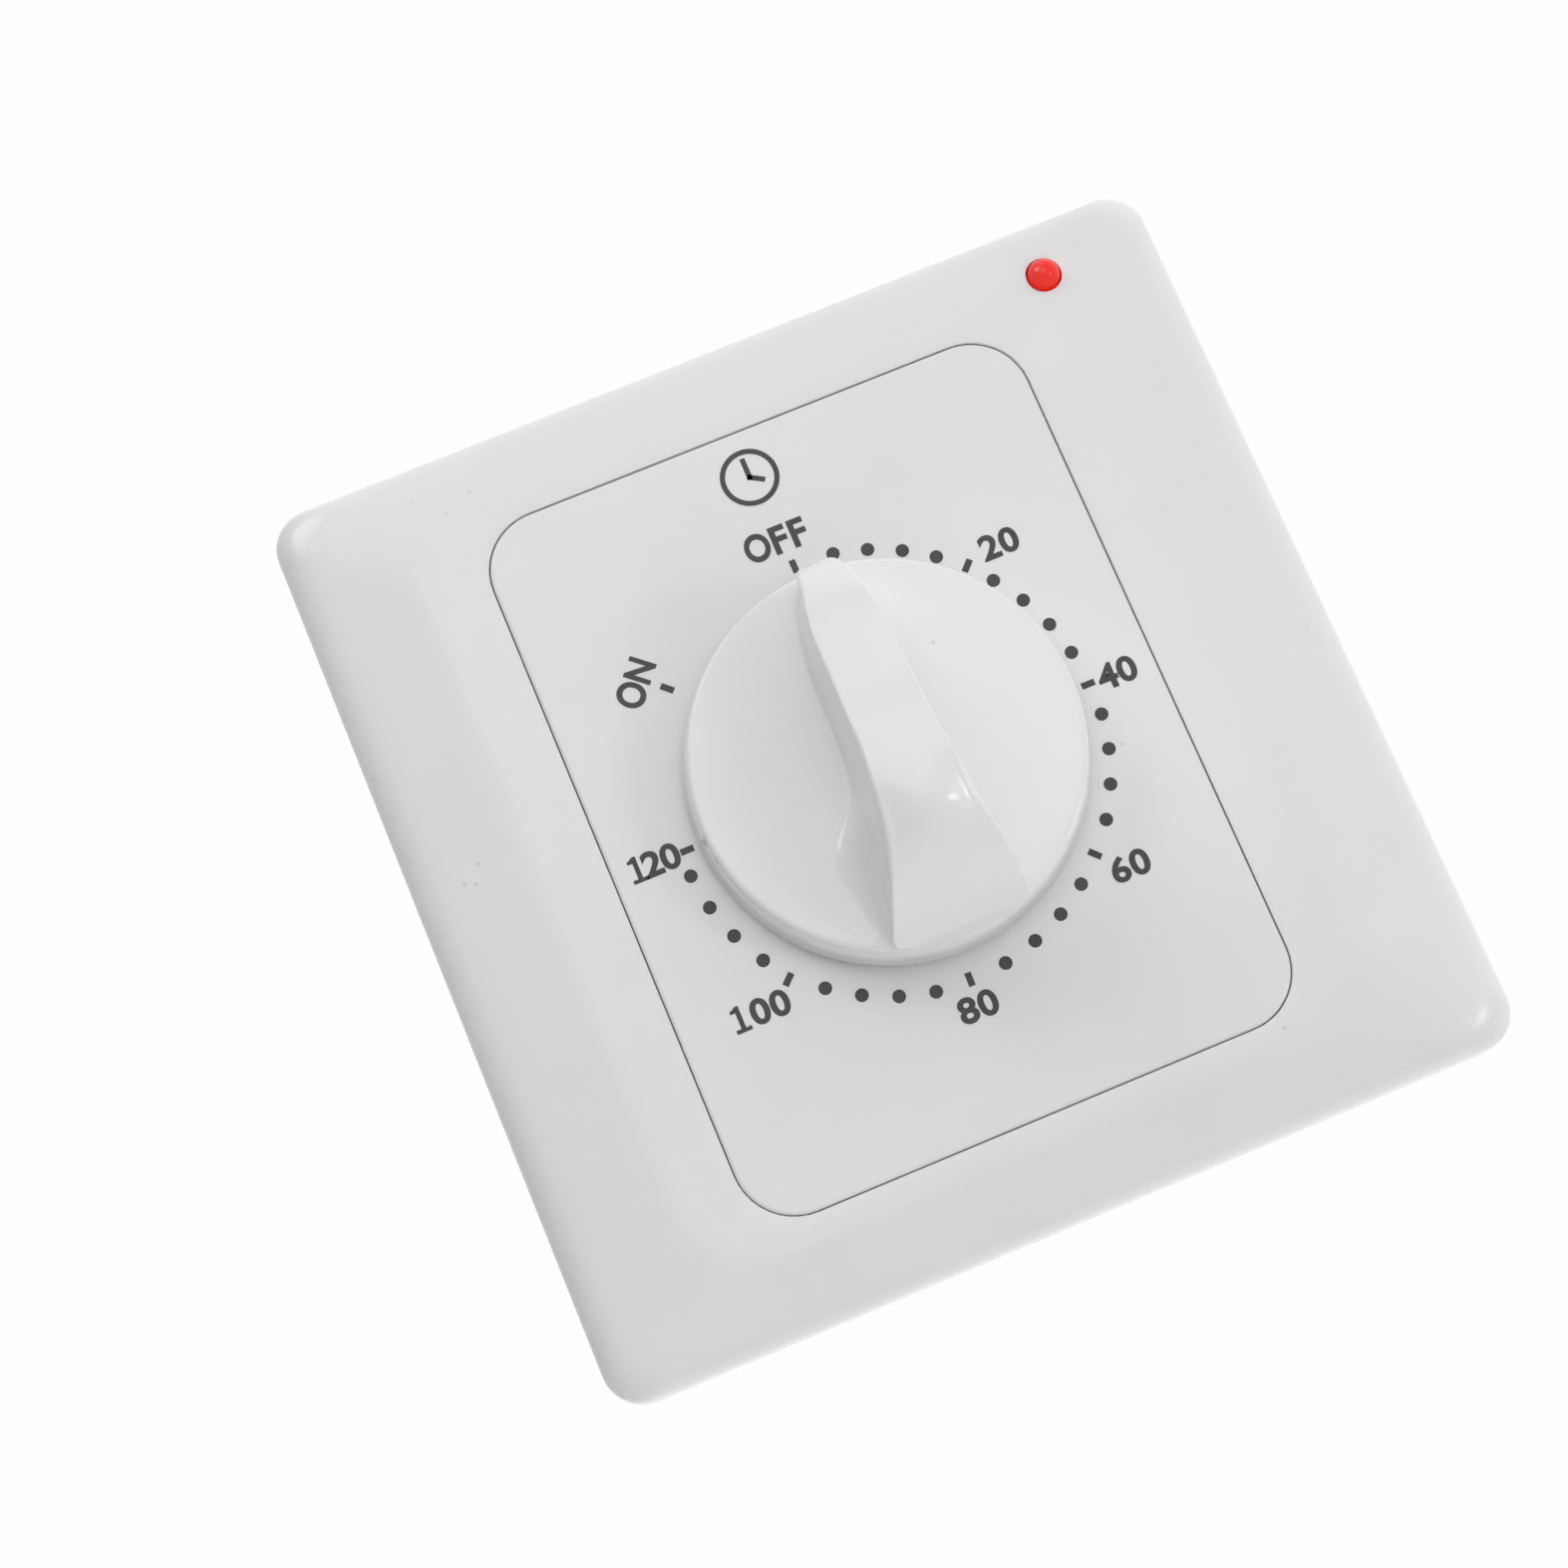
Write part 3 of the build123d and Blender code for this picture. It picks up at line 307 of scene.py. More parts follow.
def new_tree(kind, name, inputs, outputs, output_type):
    """Node group of a kind with its input and output nodes; an input has a name, a type and a default."""
    tree = bpy.data.node_groups.new(name, kind)
    for label, socket_type, default in inputs:
        socket = tree.interface.new_socket(label, in_out="INPUT", socket_type=socket_type)
        if default is not None:
            socket.default_value = default
    for label in outputs:
        tree.interface.new_socket(label, in_out="OUTPUT", socket_type=output_type)
    return tree, tree.nodes.new("NodeGroupInput"), tree.nodes.new("NodeGroupOutput")


def number_inputs(defaults):
    """Number inputs from names and defaults."""
    return [(label.replace("_", " "), "NodeSocketFloat", value) for label, value in defaults.items()]


def feed(tree, socket, value):
    """Links a value that is a socket, and sets any other one."""
    if isinstance(value, bpy.types.NodeSocket):
        tree.links.new(value, socket)
    else:
        socket.default_value = value


def feed_all(tree, node, **values):
    """Feeds the inputs of a node that the values name."""
    for label, value in values.items():
        feed(tree, node.inputs[label.replace("_", " ")], value)


def add_node(tree, kind, **values):
    """New node with the inputs that the values name."""
    node = tree.nodes.new(kind)
    feed_all(tree, node, **values)
    return node


def add_noise(tree, vector, scale, detail, roughness=0.5):
    """Noise texture read at a vector."""
    noise = add_node(tree, "ShaderNodeTexNoise", Vector=vector, Scale=scale, Detail=detail,
                     Roughness=roughness)
    return noise.outputs["Fac"]


def add_math(tree, operation, first, second):
    """Math node; each operand is a socket or a number."""
    node = tree.nodes.new("ShaderNodeMath")
    node.operation = operation
    for socket, value in zip(node.inputs, (first, second)):
        feed(tree, socket, value)
    return node.outputs[0]


def add_range(tree, value, low, high, to_low, to_high):
    """Maps a value from one range to another, held inside it."""
    node = add_node(tree, "ShaderNodeMapRange", Value=value, From_Min=low, From_Max=high,
                    To_Min=to_low, To_Max=to_high)
    return node.outputs["Result"]


def add_mix(tree, share, first, second):
    """Colour between two, each a colour or a socket."""
    node = tree.nodes.new("ShaderNodeMix")
    node.data_type = "RGBA"
    feed(tree, node.inputs["Factor"], share)
    for label, value in (("A", first), ("B", second)):
        socket = [s for s in node.inputs if s.name == label and s.type == "RGBA"][0]
        feed(tree, socket, value if isinstance(value, bpy.types.NodeSocket) else (*value[:3], 1.0))
    return [s for s in node.outputs if s.type == "RGBA"][0]


# Shader groups that several finishes share

def new_group(name, outputs, **defaults):
    """Shader node group of numbers, and the place on the object that it reads."""
    tree, given, shown = new_tree("ShaderNodeTree", name, number_inputs(defaults), outputs, "NodeSocketFloat")
    return tree, given.outputs, shown.inputs, tree.nodes.new("ShaderNodeTexCoord").outputs["Object"]


def add_mapping(tree, place, scale, turn=(0.0, 0.0, 0.0)):
    """A place stretched and turned."""
    node = add_node(tree, "ShaderNodeMapping", Vector=place, Scale=scale, Rotation=turn)
    return node.outputs["Vector"]


def moulded_skin_group():
    """Moulded plastic: a fine satin grain, slow waves of the mould and faint cloudiness."""
    tree, given, shown, place = new_group("moulded_skin", ["Height", "Cloud", "Polish"],
                                          Grain_Scale=2500.0, Wave_Scale=45.0, Wave_Share=0.5)
    grain = add_noise(tree, place, given["Grain Scale"], 2.0)
    wave = add_noise(tree, place, given["Wave Scale"], 1.0)
    grain_part = add_math(tree, "MULTIPLY", grain, 0.05)
    wave_part = add_math(tree, "MULTIPLY", wave, given["Wave Share"])
    tree.links.new(add_math(tree, "ADD", grain_part, wave_part), shown["Height"])
    tree.links.new(add_noise(tree, place, 110.0, 3.0), shown["Cloud"])
    polish = add_noise(tree, place, 260.0, 4.0, 0.6)
    tree.links.new(add_range(tree, polish, 0.3, 0.7, 0.0, 1.0), shown["Polish"])
    return tree


def specks_group():
    """Dust specks and a few fine scratches, as one mask each."""
    tree, given, shown, place = new_group("specks_and_scratches", ["Speck", "Scratch"],
                                          Speck_Scale=420.0, Speck_Size=0.09)
    cells = add_node(tree, "ShaderNodeTexVoronoi", Vector=place, Scale=given["Speck Scale"])
    near = add_math(tree, "LESS_THAN", cells.outputs["Distance"], given["Speck Size"])
    picked = add_math(tree, "GREATER_THAN", add_noise(tree, place, 60.0, 2.0), 0.62)
    tree.links.new(add_math(tree, "MULTIPLY", near, picked), shown["Speck"])
    squeezed = add_mapping(tree, place, (40.0, 40.0, 1200.0), (0.0, 0.5, 0.2))
    streak = add_noise(tree, squeezed, 1.0, 2.0)
    tree.links.new(add_range(tree, streak, 0.70, 0.74, 0.0, 1.0), shown["Scratch"])
    return tree


def rolled_metal_group():
    """Rolled or turned metal: long streaks one way and clouds of tarnish."""
    tree, given, shown, place = new_group("rolled_metal", ["Height", "Tarnish", "Polish"],
                                          Streak_Scale=1.0, Cloud_Scale=160.0)
    stretched = add_mapping(tree, place, (60.0, 2600.0, 2600.0))
    streak = add_noise(tree, stretched, given["Streak Scale"], 3.0, 0.6)
    cloud = add_noise(tree, place, given["Cloud Scale"], 4.0, 0.6)
    tree.links.new(streak, shown["Height"])
    tree.links.new(add_range(tree, cloud, 0.4, 0.75, 0.0, 1.0), shown["Tarnish"])
    tree.links.new(add_math(tree, "MULTIPLY", streak, cloud), shown["Polish"])
    return tree


SHARED_GROUPS = {
    "moulded_skin": moulded_skin_group,
    "specks_and_scratches": specks_group,
    "rolled_metal": rolled_metal_group,
}


def place_group(tree, name, **values):
    """Places a shared group in a material, with its own input values."""
    shared = bpy.data.node_groups.get(name) or SHARED_GROUPS[name]()
    node = tree.nodes.new("ShaderNodeGroup")
    node.node_tree = shared
    feed_all(tree, node, **values)
    return node.outputs


# Finishes

def new_material(name):
    """Material with its tree, its Principled shader and its Bump node."""
    material = bpy.data.materials.new(name)
    material.use_nodes = True
    tree = material.node_tree
    shader = tree.nodes["Principled BSDF"]
    bump = tree.nodes.new("ShaderNodeBump")
    tree.links.new(bump.outputs["Normal"], shader.inputs["Normal"])
    return material, tree, shader, bump


def shaded(base, factor):
    """A colour made lighter or darker."""
    return tuple(min(1.0, channel * factor) for channel in base[:3])


def skinned_material(name, base, darker, lighter, polish, **grain):
    """Material on the moulded skin: a cloudy colour, a range of roughness and a bump."""
    material, tree, shader, bump = new_material(name)
    skin = place_group(tree, "moulded_skin", **grain)
    clouded = add_mix(tree, skin["Cloud"], shaded(base, darker), shaded(base, lighter))
    satin = add_range(tree, skin["Polish"], 0.0, 1.0, *polish)
    feed_all(tree, shader, Base_Color=clouded, Roughness=satin)
    feed_all(tree, bump, Height=skin["Height"])
    return material, tree, shader, bump, skin, clouded, satin


def moulded_plastic(name, base, roughness, grain=2500.0, wave=45.0):
    """Moulded plastic with cloudy colour, satin patches and dust specks."""
    material, tree, shader, bump, _, clouded, satin = skinned_material(
        name, base, 0.975, 1.02, (roughness - 0.015, roughness + 0.02), Grain_Scale=grain, Wave_Scale=wave)
    marks = place_group(tree, "specks_and_scratches")
    speck_share = add_math(tree, "MULTIPLY", marks["Speck"], 0.35)
    specked = add_mix(tree, speck_share, clouded, shaded(base, 0.55))
    worn = add_math(tree, "MULTIPLY", marks["Scratch"], 0.02)
    feed_all(tree, shader, Base_Color=specked, Roughness=add_math(tree, "ADD", satin, worn), IOR=1.5)
    feed_all(tree, bump, Strength=0.25, Distance=0.04 * MM)
    return material


def sheet_metal(name, base, tarnish, roughness):
    """Rolled or turned metal, with tarnish in the clouds."""
    material, tree, shader, bump = new_material(name)
    rolled = place_group(tree, "rolled_metal")
    clouded = add_mix(tree, rolled["Tarnish"], base, tarnish)
    satin = add_range(tree, rolled["Polish"], 0.1, 0.45, roughness - 0.07, roughness + 0.1)
    feed_all(tree, shader, Metallic=1.0, Base_Color=clouded, Roughness=satin)
    feed_all(tree, bump, Height=rolled["Height"], Strength=0.2, Distance=0.01 * MM)
    return material


def printed_ink(name):
    """Pad-printed ink: dark grey, a little uneven where the pad pressed less."""
    material, tree, _, bump, *_ = skinned_material(
        name, sizes_of("colours").ink, 0.85, 1.3, (0.38, 0.55),
        Grain_Scale=6000.0, Wave_Scale=900.0, Wave_Share=0.3)
    feed_all(tree, bump, Strength=0.3, Distance=0.01 * MM)
    return material


def lamp_resin(name):
    """Red tinted resin of the lamp, clear enough to show the cup inside."""
    red = sizes_of("colours").lamp
    material, tree, shader, bump, skin, *_ = skinned_material(
        name, red, 0.9, 1.05, (0.05, 0.12), Grain_Scale=1800.0, Wave_Scale=500.0, Wave_Share=0.6)
    feed_all(tree, bump, Strength=0.08, Distance=0.02 * MM)
    glow = add_mix(tree, skin["Cloud"], shaded(red, 0.30), shaded(red, 0.36))
    feed_all(tree, shader, Transmission_Weight=0.3, Emission_Color=glow, Emission_Strength=0.5,
             IOR=1.53, Specular_IOR_Level=0.3)
    return material


# Maker, name and own values of the finish for each material slot of the record, and for the ink.
# Plastics have a colour or the name of one, a roughness, and the scales of the grain and the waves.
# Metals have a colour, the colour of their tarnish, and a roughness.
FINISHES = {
    "white_abs": (moulded_plastic, "white_plate_moulding", "plate", 0.24),
    "knob_abs": (moulded_plastic, "white_knob_moulding", "knob", 0.17, 2500.0, 30.0),
    "frame_nylon": (moulded_plastic, "natural_nylon", (0.60, 0.60, 0.56), 0.48, 1500.0, 90.0),
    "housing_nylon": (moulded_plastic, "dark_nylon", "housing", 0.42, 1300.0, 80.0),
    "cam_acetal": (moulded_plastic, "acetal", (0.72, 0.70, 0.64), 0.35, 2000.0, 60.0),
    "block_phenolic": (moulded_plastic, "phenolic", (0.055, 0.028, 0.016), 0.38, 900.0, 200.0),
    "resistor_enamel": (moulded_plastic, "resistor_enamel", (0.48, 0.34, 0.18), 0.4, 2500.0, 400.0),
    "wire_pvc": (moulded_plastic, "red_wire_sleeve", (0.46, 0.014, 0.012), 0.36, 1800.0, 300.0),
    "wire_pvc_blue": (moulded_plastic, "blue_wire_sleeve", (0.014, 0.055, 0.32), 0.36, 1800.0, 300.0),
    "steel": (sheet_metal, "bright_steel", (0.56, 0.56, 0.57), (0.38, 0.37, 0.36), 0.34),
    "spring_steel": (sheet_metal, "blued_spring_steel", (0.30, 0.32, 0.37), (0.18, 0.17, 0.19), 0.28),
    "zinc_steel": (sheet_metal, "zinc_plate", (0.66, 0.67, 0.68), (0.50, 0.50, 0.46), 0.30),
    "brass": (sheet_metal, "rolled_brass", (0.72, 0.52, 0.22), (0.46, 0.31, 0.14), 0.30),
    "silver_alloy": (sheet_metal, "silver_contact", (0.83, 0.82, 0.79), (0.55, 0.53, 0.49), 0.26),
    "tinned_copper": (sheet_metal, "tinned_copper", (0.68, 0.67, 0.65), (0.50, 0.44, 0.38), 0.32),
    "red_lens": (lamp_resin, "lamp_resin"),
    "ink": (printed_ink, "printed_ink"),
}


def finish_for(slot):
    """Finish of a material slot, made when it is first asked for."""
    maker, name, *values = FINISHES[slot]
    if values and isinstance(values[0], str):
        values[0] = getattr(sizes_of("colours"), values[0])
    return bpy.data.materials.get(name) or maker(name, *values)


# Outer frame

def cover_rings(sizes):
    """Rings (width, height, corner, out) round the wall of the outer frame, from the collar's inside."""
    side, face = sizes.side, sizes.face_out
    seam_round = 0.12 * MM
    collar_wall = 1.6 * MM
    collar_out = 5.2 * MM
    roof_out = 5.0 * MM
    rings = []

    def opening(grow, out):
        """Ring that stands outside the opening by an amount."""
        rings.append((sizes.opening_width + 2 * grow, sizes.opening_height + 2 * grow,
                      sizes.opening_corner + grow, out))

    def slope(t, out):
        """Ring a share t of the way from the crease to the plate's outline."""
        rings.append((sizes.crest_width + (side - sizes.crest_width) * t,
                      sizes.crest_height + (side - sizes.crest_height) * t,
                      sizes.crest_corner + (sizes.corner - sizes.crest_corner) * t, out))

    opening(0.0, collar_out)
    for step in range(5):
        angle = math.radians(90 * step / 4)
        opening(seam_round * (1 - math.cos(angle)), face - seam_round * (1 - math.sin(angle)))
    opening(1.2 * MM, face)
    crease = 0.09
    for step in range(7):
        t = crease * (step / 3 - 1)
        slope(t, face - sizes.fall * (t + crease) ** 2 / (4 * crease))
    rim_start = 0.74
    for step in range(1, 5):
        t = crease + (rim_start - crease) * step / 4
        slope(t, face - sizes.fall * t)
    start_out = face - sizes.fall * rim_start
    tilt = math.radians(14)
    steps = 9
    for step in range(1, steps + 1):
        angle = tilt + (math.pi / 2 - tilt) * step / steps
        share = (1 - math.sin(angle)) / (1 - math.sin(tilt))
        drop = sizes.rim_round * (math.cos(tilt) - math.cos(angle))
        slope(1 - (1 - rim_start) * share, start_out - drop)
    width, height, corner = rings[-1][:3]
    foot_round = 0.35 * MM
    for inset, out in ((0.0, 1.0), (0.2, 0.3), (1.2, 0.0)):
        rings.append((width - inset * foot_round, height - inset * foot_round, corner, out * foot_round))
    inner = side - 2 * sizes.wall
    for out in (0.0, roof_out):
        rings.append((inner, inner, sizes.corner - MM, out))
    opening(collar_wall, face - sizes.wall)
    opening(collar_wall, collar_out)
    return rings


def snap_legs():
    """Four legs under the top and bottom walls, each with a barb that grips the base frame."""
    bm = bmesh.new()
    profile = [(40.15, 5.4), (41.15, 5.4), (41.15, 0.3), (39.75, 0.3), (39.55, 0.6), (40.15, 1.4)]
    half_width = 4.0
    for side in (1, -1):
        for middle in (22.0, -22.0):
            add_rings(bm, [[spot(x * MM, out * MM, side * z * MM) for z, out in profile]
                           for x in (middle - half_width, middle + half_width)], capped=True)
    return bm


class TIMER_SWITCH_OT_outer_frame(bpy.types.Operator):
    """Build the outer frame of the plate, with its soft crease and the hole for the lamp"""
    bl_idname = "timer_switch.outer_frame"
    bl_label = "Outer Frame"

    def execute(self, context):
        sizes = sizes_of("plate")
        bm = bmesh.new()
        rings = [[spot(x, out, z) for x, z in rounded_outline(width, height, corner)]
                 for width, height, corner, out in cover_rings(sizes)]
        add_rings(bm, rings, closed=True)
        low, high = 2.0 * MM, 12.0 * MM
        mouth = sizes.face_out - 0.05 * MM
        hole_radius, mouth_radius, chamfer = 1.68 * MM, 1.95 * MM, 0.35 * MM
        hole = turned_solid([(0.0, low), (hole_radius, low), (hole_radius, mouth - chamfer),
                             (mouth_radius, mouth), (mouth_radius, high), (0.0, high)],
                            64, (lamp_centre.x, lamp_centre.z))
        bm = join_solids(bm, hole, "DIFFERENCE")
        bm = join_solids(bm, snap_legs(), "UNION")
        pry_notch = box_solid((-44.0, -40.5), (-36.0, -30.0), (-1.0, 1.2))
        bm = join_solids(bm, pry_notch, "DIFFERENCE")
        finish_mesh("outer_frame", bm, finish_for("white_abs"), stands_for=["surround_cover"], crisp=40.0)
        return {"FINISHED"}


# Knob

# Sections of the ridge: height on the dial, half width at the crest, half width at the foot, and how far
# out the crest stands, in millimetres
RIDGE_KNOTS = [
    (-17.4, 5.5, 5.5, 14.95), (-16.6, 6.0, 6.0, 15.3), (-15.9, 6.2, 6.5, 16.6), (-15.0, 6.0, 6.9, 18.9),
    (-13.6, 5.6, 7.3, 21.5), (-12.0, 5.1, 7.7, 23.9), (-10.0, 4.6, 8.15, 25.8), (-7.8, 4.2, 8.5, 26.9),
    (-6.6, 4.05, 8.1, 27.1), (-5.4, 3.87, 7.1, 27.2), (-4.4, 3.77, 6.0, 27.2), (-3.4, 3.65, 5.2, 27.15),
    (-2.0, 3.5, 4.35, 26.95), (0.0, 3.4, 3.9, 26.7), (4.0, 3.3, 3.7, 25.7), (9.0, 3.2, 3.65, 24.8),
    (12.0, 2.8, 3.15, 24.15), (14.0, 2.35, 2.65, 23.25), (15.3, 2.05, 2.3, 22.3), (16.2, 1.8, 2.0, 21.1),
    (16.8, 1.7, 1.85, 19.8), (17.3, 1.6, 1.7, 18.0)]

# Height on the dial of the last section towards the pointer
RIDGE_END = 17.34

# Where the pointer's round tip starts, its length and its half width
TIP_START, TIP_LENGTH, TIP_HALF = 14.9, 2.45, 2.1

# Middle and spread of the part by the tail where the crest is domed and its edges are softer
TAIL_MIDDLE, TAIL_SPREAD = -8.2, 3.0

# For each side of the ridge: its direction, the share of the crest's round, and the share of the foot's flare
RIDGE_SIDES = ((1, 0.6, 0.3), (-1, 1.0, 1.0))

# Bluntness of the rounding at the crest; 1 is a quarter of an ellipse
CREST_POWER = 0.77


def ridge_section(sizes, z):
    """Points (x, out) of the ridge's section, from the foot on the right over the crest to the left."""
    heights = [knot[0] for knot in RIDGE_KNOTS]
    columns = zip(*[knot[1:] for knot in RIDGE_KNOTS])
    crest, foot, top = [steady_curve(list(zip(heights, column)), z) for column in columns]
    disc = sizes.top_out / MM
    thin = 0.0004
    limit = math.sqrt(max(thin, (sizes.top_radius / MM - 0.05) ** 2 - z ** 2))
    if z > TIP_START:
        limit = min(limit, TIP_HALF * math.sqrt(max(thin, 1 - ((z - TIP_START) / TIP_LENGTH) ** 2)))
    crest, foot = min(crest, limit), min(foot, limit)
    lean = min(1.0, (foot - crest) / 2.5)
    near_tail = math.exp(-((z - TAIL_MIDDLE) / TAIL_SPREAD) ** 2)
    crown = min(0.06 + 0.85 * near_tail, 0.3 * (top - disc))
    peak = top + 0.35 * crown
    edge = peak - crown
    sides = []
    for side, share, spread in RIDGE_SIDES:
        side_foot = crest + spread * (foot - crest)
        fall = min(sizes.crest_round / MM * (share + 1.2 * near_tail), 0.45 * (edge - disc), 0.6 * crest)
        drop = 0.86 * fall
        shoulder = edge - drop
        rise = shoulder - disc
        sunk = 0.02
        half = [(side_foot + sunk, disc - 1.0)]
        half += bezier((side_foot + sunk, disc - sunk), (crest + 0.42 * (side_foot - crest), disc - sunk),
                       (crest, disc + (0.34 + 0.06 * lean) * rise), (crest, shoulder), 16)
        steps = 9
        for step in range(steps + 1):
            angle = math.pi / 2 * step / steps
            half.append((crest - fall * (1 - abs(math.cos(angle)) ** CREST_POWER),
                         shoulder + drop * math.sin(angle) ** CREST_POWER))
        for part in (0.85, 0.7, 0.55, 0.4, 0.25, 0.12):
            half.append(((crest - fall) * part, edge + crown * (1 - part ** 2)))
        sides.append([(side * x, out) for x, out in half])
    return sides[0] + [(0.0, peak)] + list(reversed(sides[1]))


class TIMER_SWITCH_OT_knob(bpy.types.Operator):
    """Build the knob: a shallow disc with a grip ridge that ends in the pointer"""
    bl_idname = "timer_switch.knob"
    bl_label = "Knob"

    def execute(self, context):
        sizes = sizes_of("knob")
        back, top, edge = sizes.back_out, sizes.top_out, sizes.edge_round
        # Rings one millimetre apart keep the flat top evenly shaded right up to the ridge
        profile = [(ring * MM, top) for ring in range(16)] + [(sizes.top_radius - 3 * edge, top)]
        profile += quarter(sizes.top_radius - edge, top - edge, edge, 0, 84)
        profile += [(sizes.radius - inset * MM, back + rise * MM)
                    for inset, rise in ((0.02, 0.3), (0.1, 0.1), (0.3, 0.0))]
        disc = turned_solid(profile + [(0.0, back)], 192)
        ridge = bmesh.new()
        stations = 140
        low, high = RIDGE_KNOTS[0][0], RIDGE_END
        rings = []
        for station in range(stations + 1):
            share = station / stations
            ease = 0.5 - 0.5 * math.cos(math.pi * share)
            z = low + (high - low) * (0.35 * share + 0.65 * ease)
            rings.append([spot(x * MM, out * MM, z * MM) for x, out in ridge_section(sizes, z)])
        add_rings(ridge, rings, capped=True)
        roof, chamfer, bore_end, slot_end = 1.9 * MM, 0.3 * MM, 22.4 * MM, 23.2
        room, hub, neck, bore = 15.8 * MM, 5.6 * MM, 3.2 * MM, 2.52 * MM
        below, hub_top, hub_end = back - MM, top - 0.5 * MM, slot_end * MM
        hollow = turned_solid([(0.0, below), (room, below), (room, top - 2.2 * MM),
                               (15.5 * MM, top - roof), (0.0, top - roof)], 96)
        slot = box_solid((-1.6, 1.6), (-10.0, 8.0), (12.4, slot_end))
        sleeve = turned_solid([(0.0, back), (5.3 * MM, back), (hub, back + chamfer), (hub, hub_top),
                               (neck, hub_top), (neck, hub_end), (0.0, hub_end)], 48)
        shaft_hole = turned_solid([(0.0, below), (2.8 * MM, below), (bore, back + chamfer),
                                   (bore, bore_end), (0.0, bore_end)], 48)
        bm = disc
        for solid, operation in ((ridge, "UNION"), (hollow, "DIFFERENCE"), (slot, "DIFFERENCE"),
                                 (sleeve, "UNION"), (shaft_hole, "DIFFERENCE")):
            bm = join_solids(bm, solid, operation)
        finish_mesh("grip_knob", bm, finish_for("knob_abs"), "knob_and_shaft", ["knob"], 42.0)
        return {"FINISHED"}


# Lamp

class TIMER_SWITCH_OT_lamp(bpy.types.Operator):
    """Build the red lamp: a domed resin body over a small metal cup"""
    bl_idname = "timer_switch.lamp"
    bl_label = "Lamp"

    def execute(self, context):
        seat, top = -lamp_high.y, -lamp_low.y
        centre = (lamp_centre.x, lamp_centre.z)
        radius, steps = 1.5 * MM, 15
        profile = [(across * MM, seat + rise * MM) for across, rise in
                   ((0.0, 0.0), (1.75, 0.0), (1.9, 0.15), (1.9, 0.75), (1.75, 0.9), (1.5, 0.9))]
        for step in range(1, steps):
            angle = math.radians(90 * step / steps)
            profile.append((radius * math.cos(angle), top - radius + radius * math.sin(angle)))
        profile.append((0.0, top))
        body = turned_solid(profile, 64, centre)
        finish_mesh("lamp_dome", body, finish_for("red_lens"), stands_for=["indicator_lamp"])
        foot = seat + 0.4 * MM
        cup = turned_solid([(across * MM, foot + rise * MM) for across, rise in
                            ((0.0, 0.0), (0.5, 0.0), (0.5, 1.8), (0.95, 2.2), (1.0, 2.7), (0.9, 2.7),
                             (0.4, 2.3), (0.0, 2.3))], 32, centre)
        finish_mesh("lamp_cup", cup, finish_for("tinned_copper"))
        return {"FINISHED"}


# Printed dial

def new_stamp_tree(name, places, **sizes):
    """Geometry Nodes tree that takes places, sizes and an ink, and puts out geometry."""
    inputs = [(places, "NodeSocketGeometry", None), *number_inputs(sizes),
              ("Ink", "NodeSocketMaterial", None)]
    return new_tree("GeometryNodeTree", name, inputs, ["Geometry"], "NodeSocketGeometry")


def add_stamps(tree, places, shape, ink, shown):
    """Puts a shape on each place, makes the copies real and inks them; returns the node that places them."""
    stamp = add_node(tree, "GeometryNodeInstanceOnPoints", Points=places, Instance=shape)
    real = add_node(tree, "GeometryNodeRealizeInstances", Geometry=stamp.outputs[0])
    dye = add_node(tree, "GeometryNodeSetMaterial", Geometry=real.outputs[0], Material=ink)
    tree.links.new(dye.outputs[0], shown.inputs["Geometry"])
    return stamp


def dots_tree():
    """A flat round dot on each place."""
    tree, given, shown = new_stamp_tree("dial_dots", "Places", Dot_Radius=0.0006, Ink_Depth=0.00002)
    read = given.outputs
    dot = add_node(tree, "GeometryNodeMeshCylinder", Vertices=28, Radius=read["Dot Radius"],
                   Depth=read["Ink Depth"])
    stamp = add_stamps(tree, read["Places"], dot.outputs["Mesh"], read["Ink"], shown)
    feed_all(tree, stamp, Rotation=(math.pi / 2, 0.0, 0.0))
    return tree


def radial_marks_tree():
    """Bars that stand radially at the dial's marks; each mark has its own turn and radius."""
    tree, given, shown = new_stamp_tree("radial_marks", "Marks", Mark_Length=0.00125, Mark_Width=0.0006,
                                        Ink_Depth=0.00002)
    read = given.outputs
    size = add_node(tree, "ShaderNodeCombineXYZ", X=read["Mark Width"], Y=read["Ink Depth"],
                    Z=read["Mark Length"])
    bar = add_node(tree, "GeometryNodeMeshCube", Size=size.outputs[0])
    turn = add_node(tree, "GeometryNodeInputNamedAttribute", Name="turn")
    turn.data_type = "FLOAT"
    spin = add_node(tree, "ShaderNodeCombineXYZ", Y=turn.outputs["Attribute"])
    stamp = add_stamps(tree, read["Marks"], bar.outputs["Mesh"], read["Ink"], shown)
    feed_all(tree, stamp, Rotation=spin.outputs[0])
    return tree


def run_tree(name, tree, values, start):
    """Runs a Geometry Nodes tree on a mesh of points and returns its result as a plain mesh."""
    holder = add_object(name + "_start", start)
    modifier = holder.modifiers.new(name, "NODES")
    modifier.node_group = tree
    for item in tree.interface.items_tree:
        if item.item_type == "SOCKET" and item.in_out == "INPUT" and item.name in values:
            modifier[item.identifier] = values[item.name]
    graph = bpy.context.evaluated_depsgraph_get()
    result = bpy.data.meshes.new_from_object(holder.evaluated_get(graph))
    result.name = name
    holder.modifiers.clear()
    bpy.data.objects.remove(holder)
    return result


# Turn in degrees from OFF and radius in millimetres of each mark, as the print has them
MARKS = [(-1.0, 20.07), (44.6, 19.91), (90.0, 19.57), (135.8, 19.98), (181.7, 20.33), (226.8, 20.85),
         (269.2, 19.01), (312.8, 20.58)]

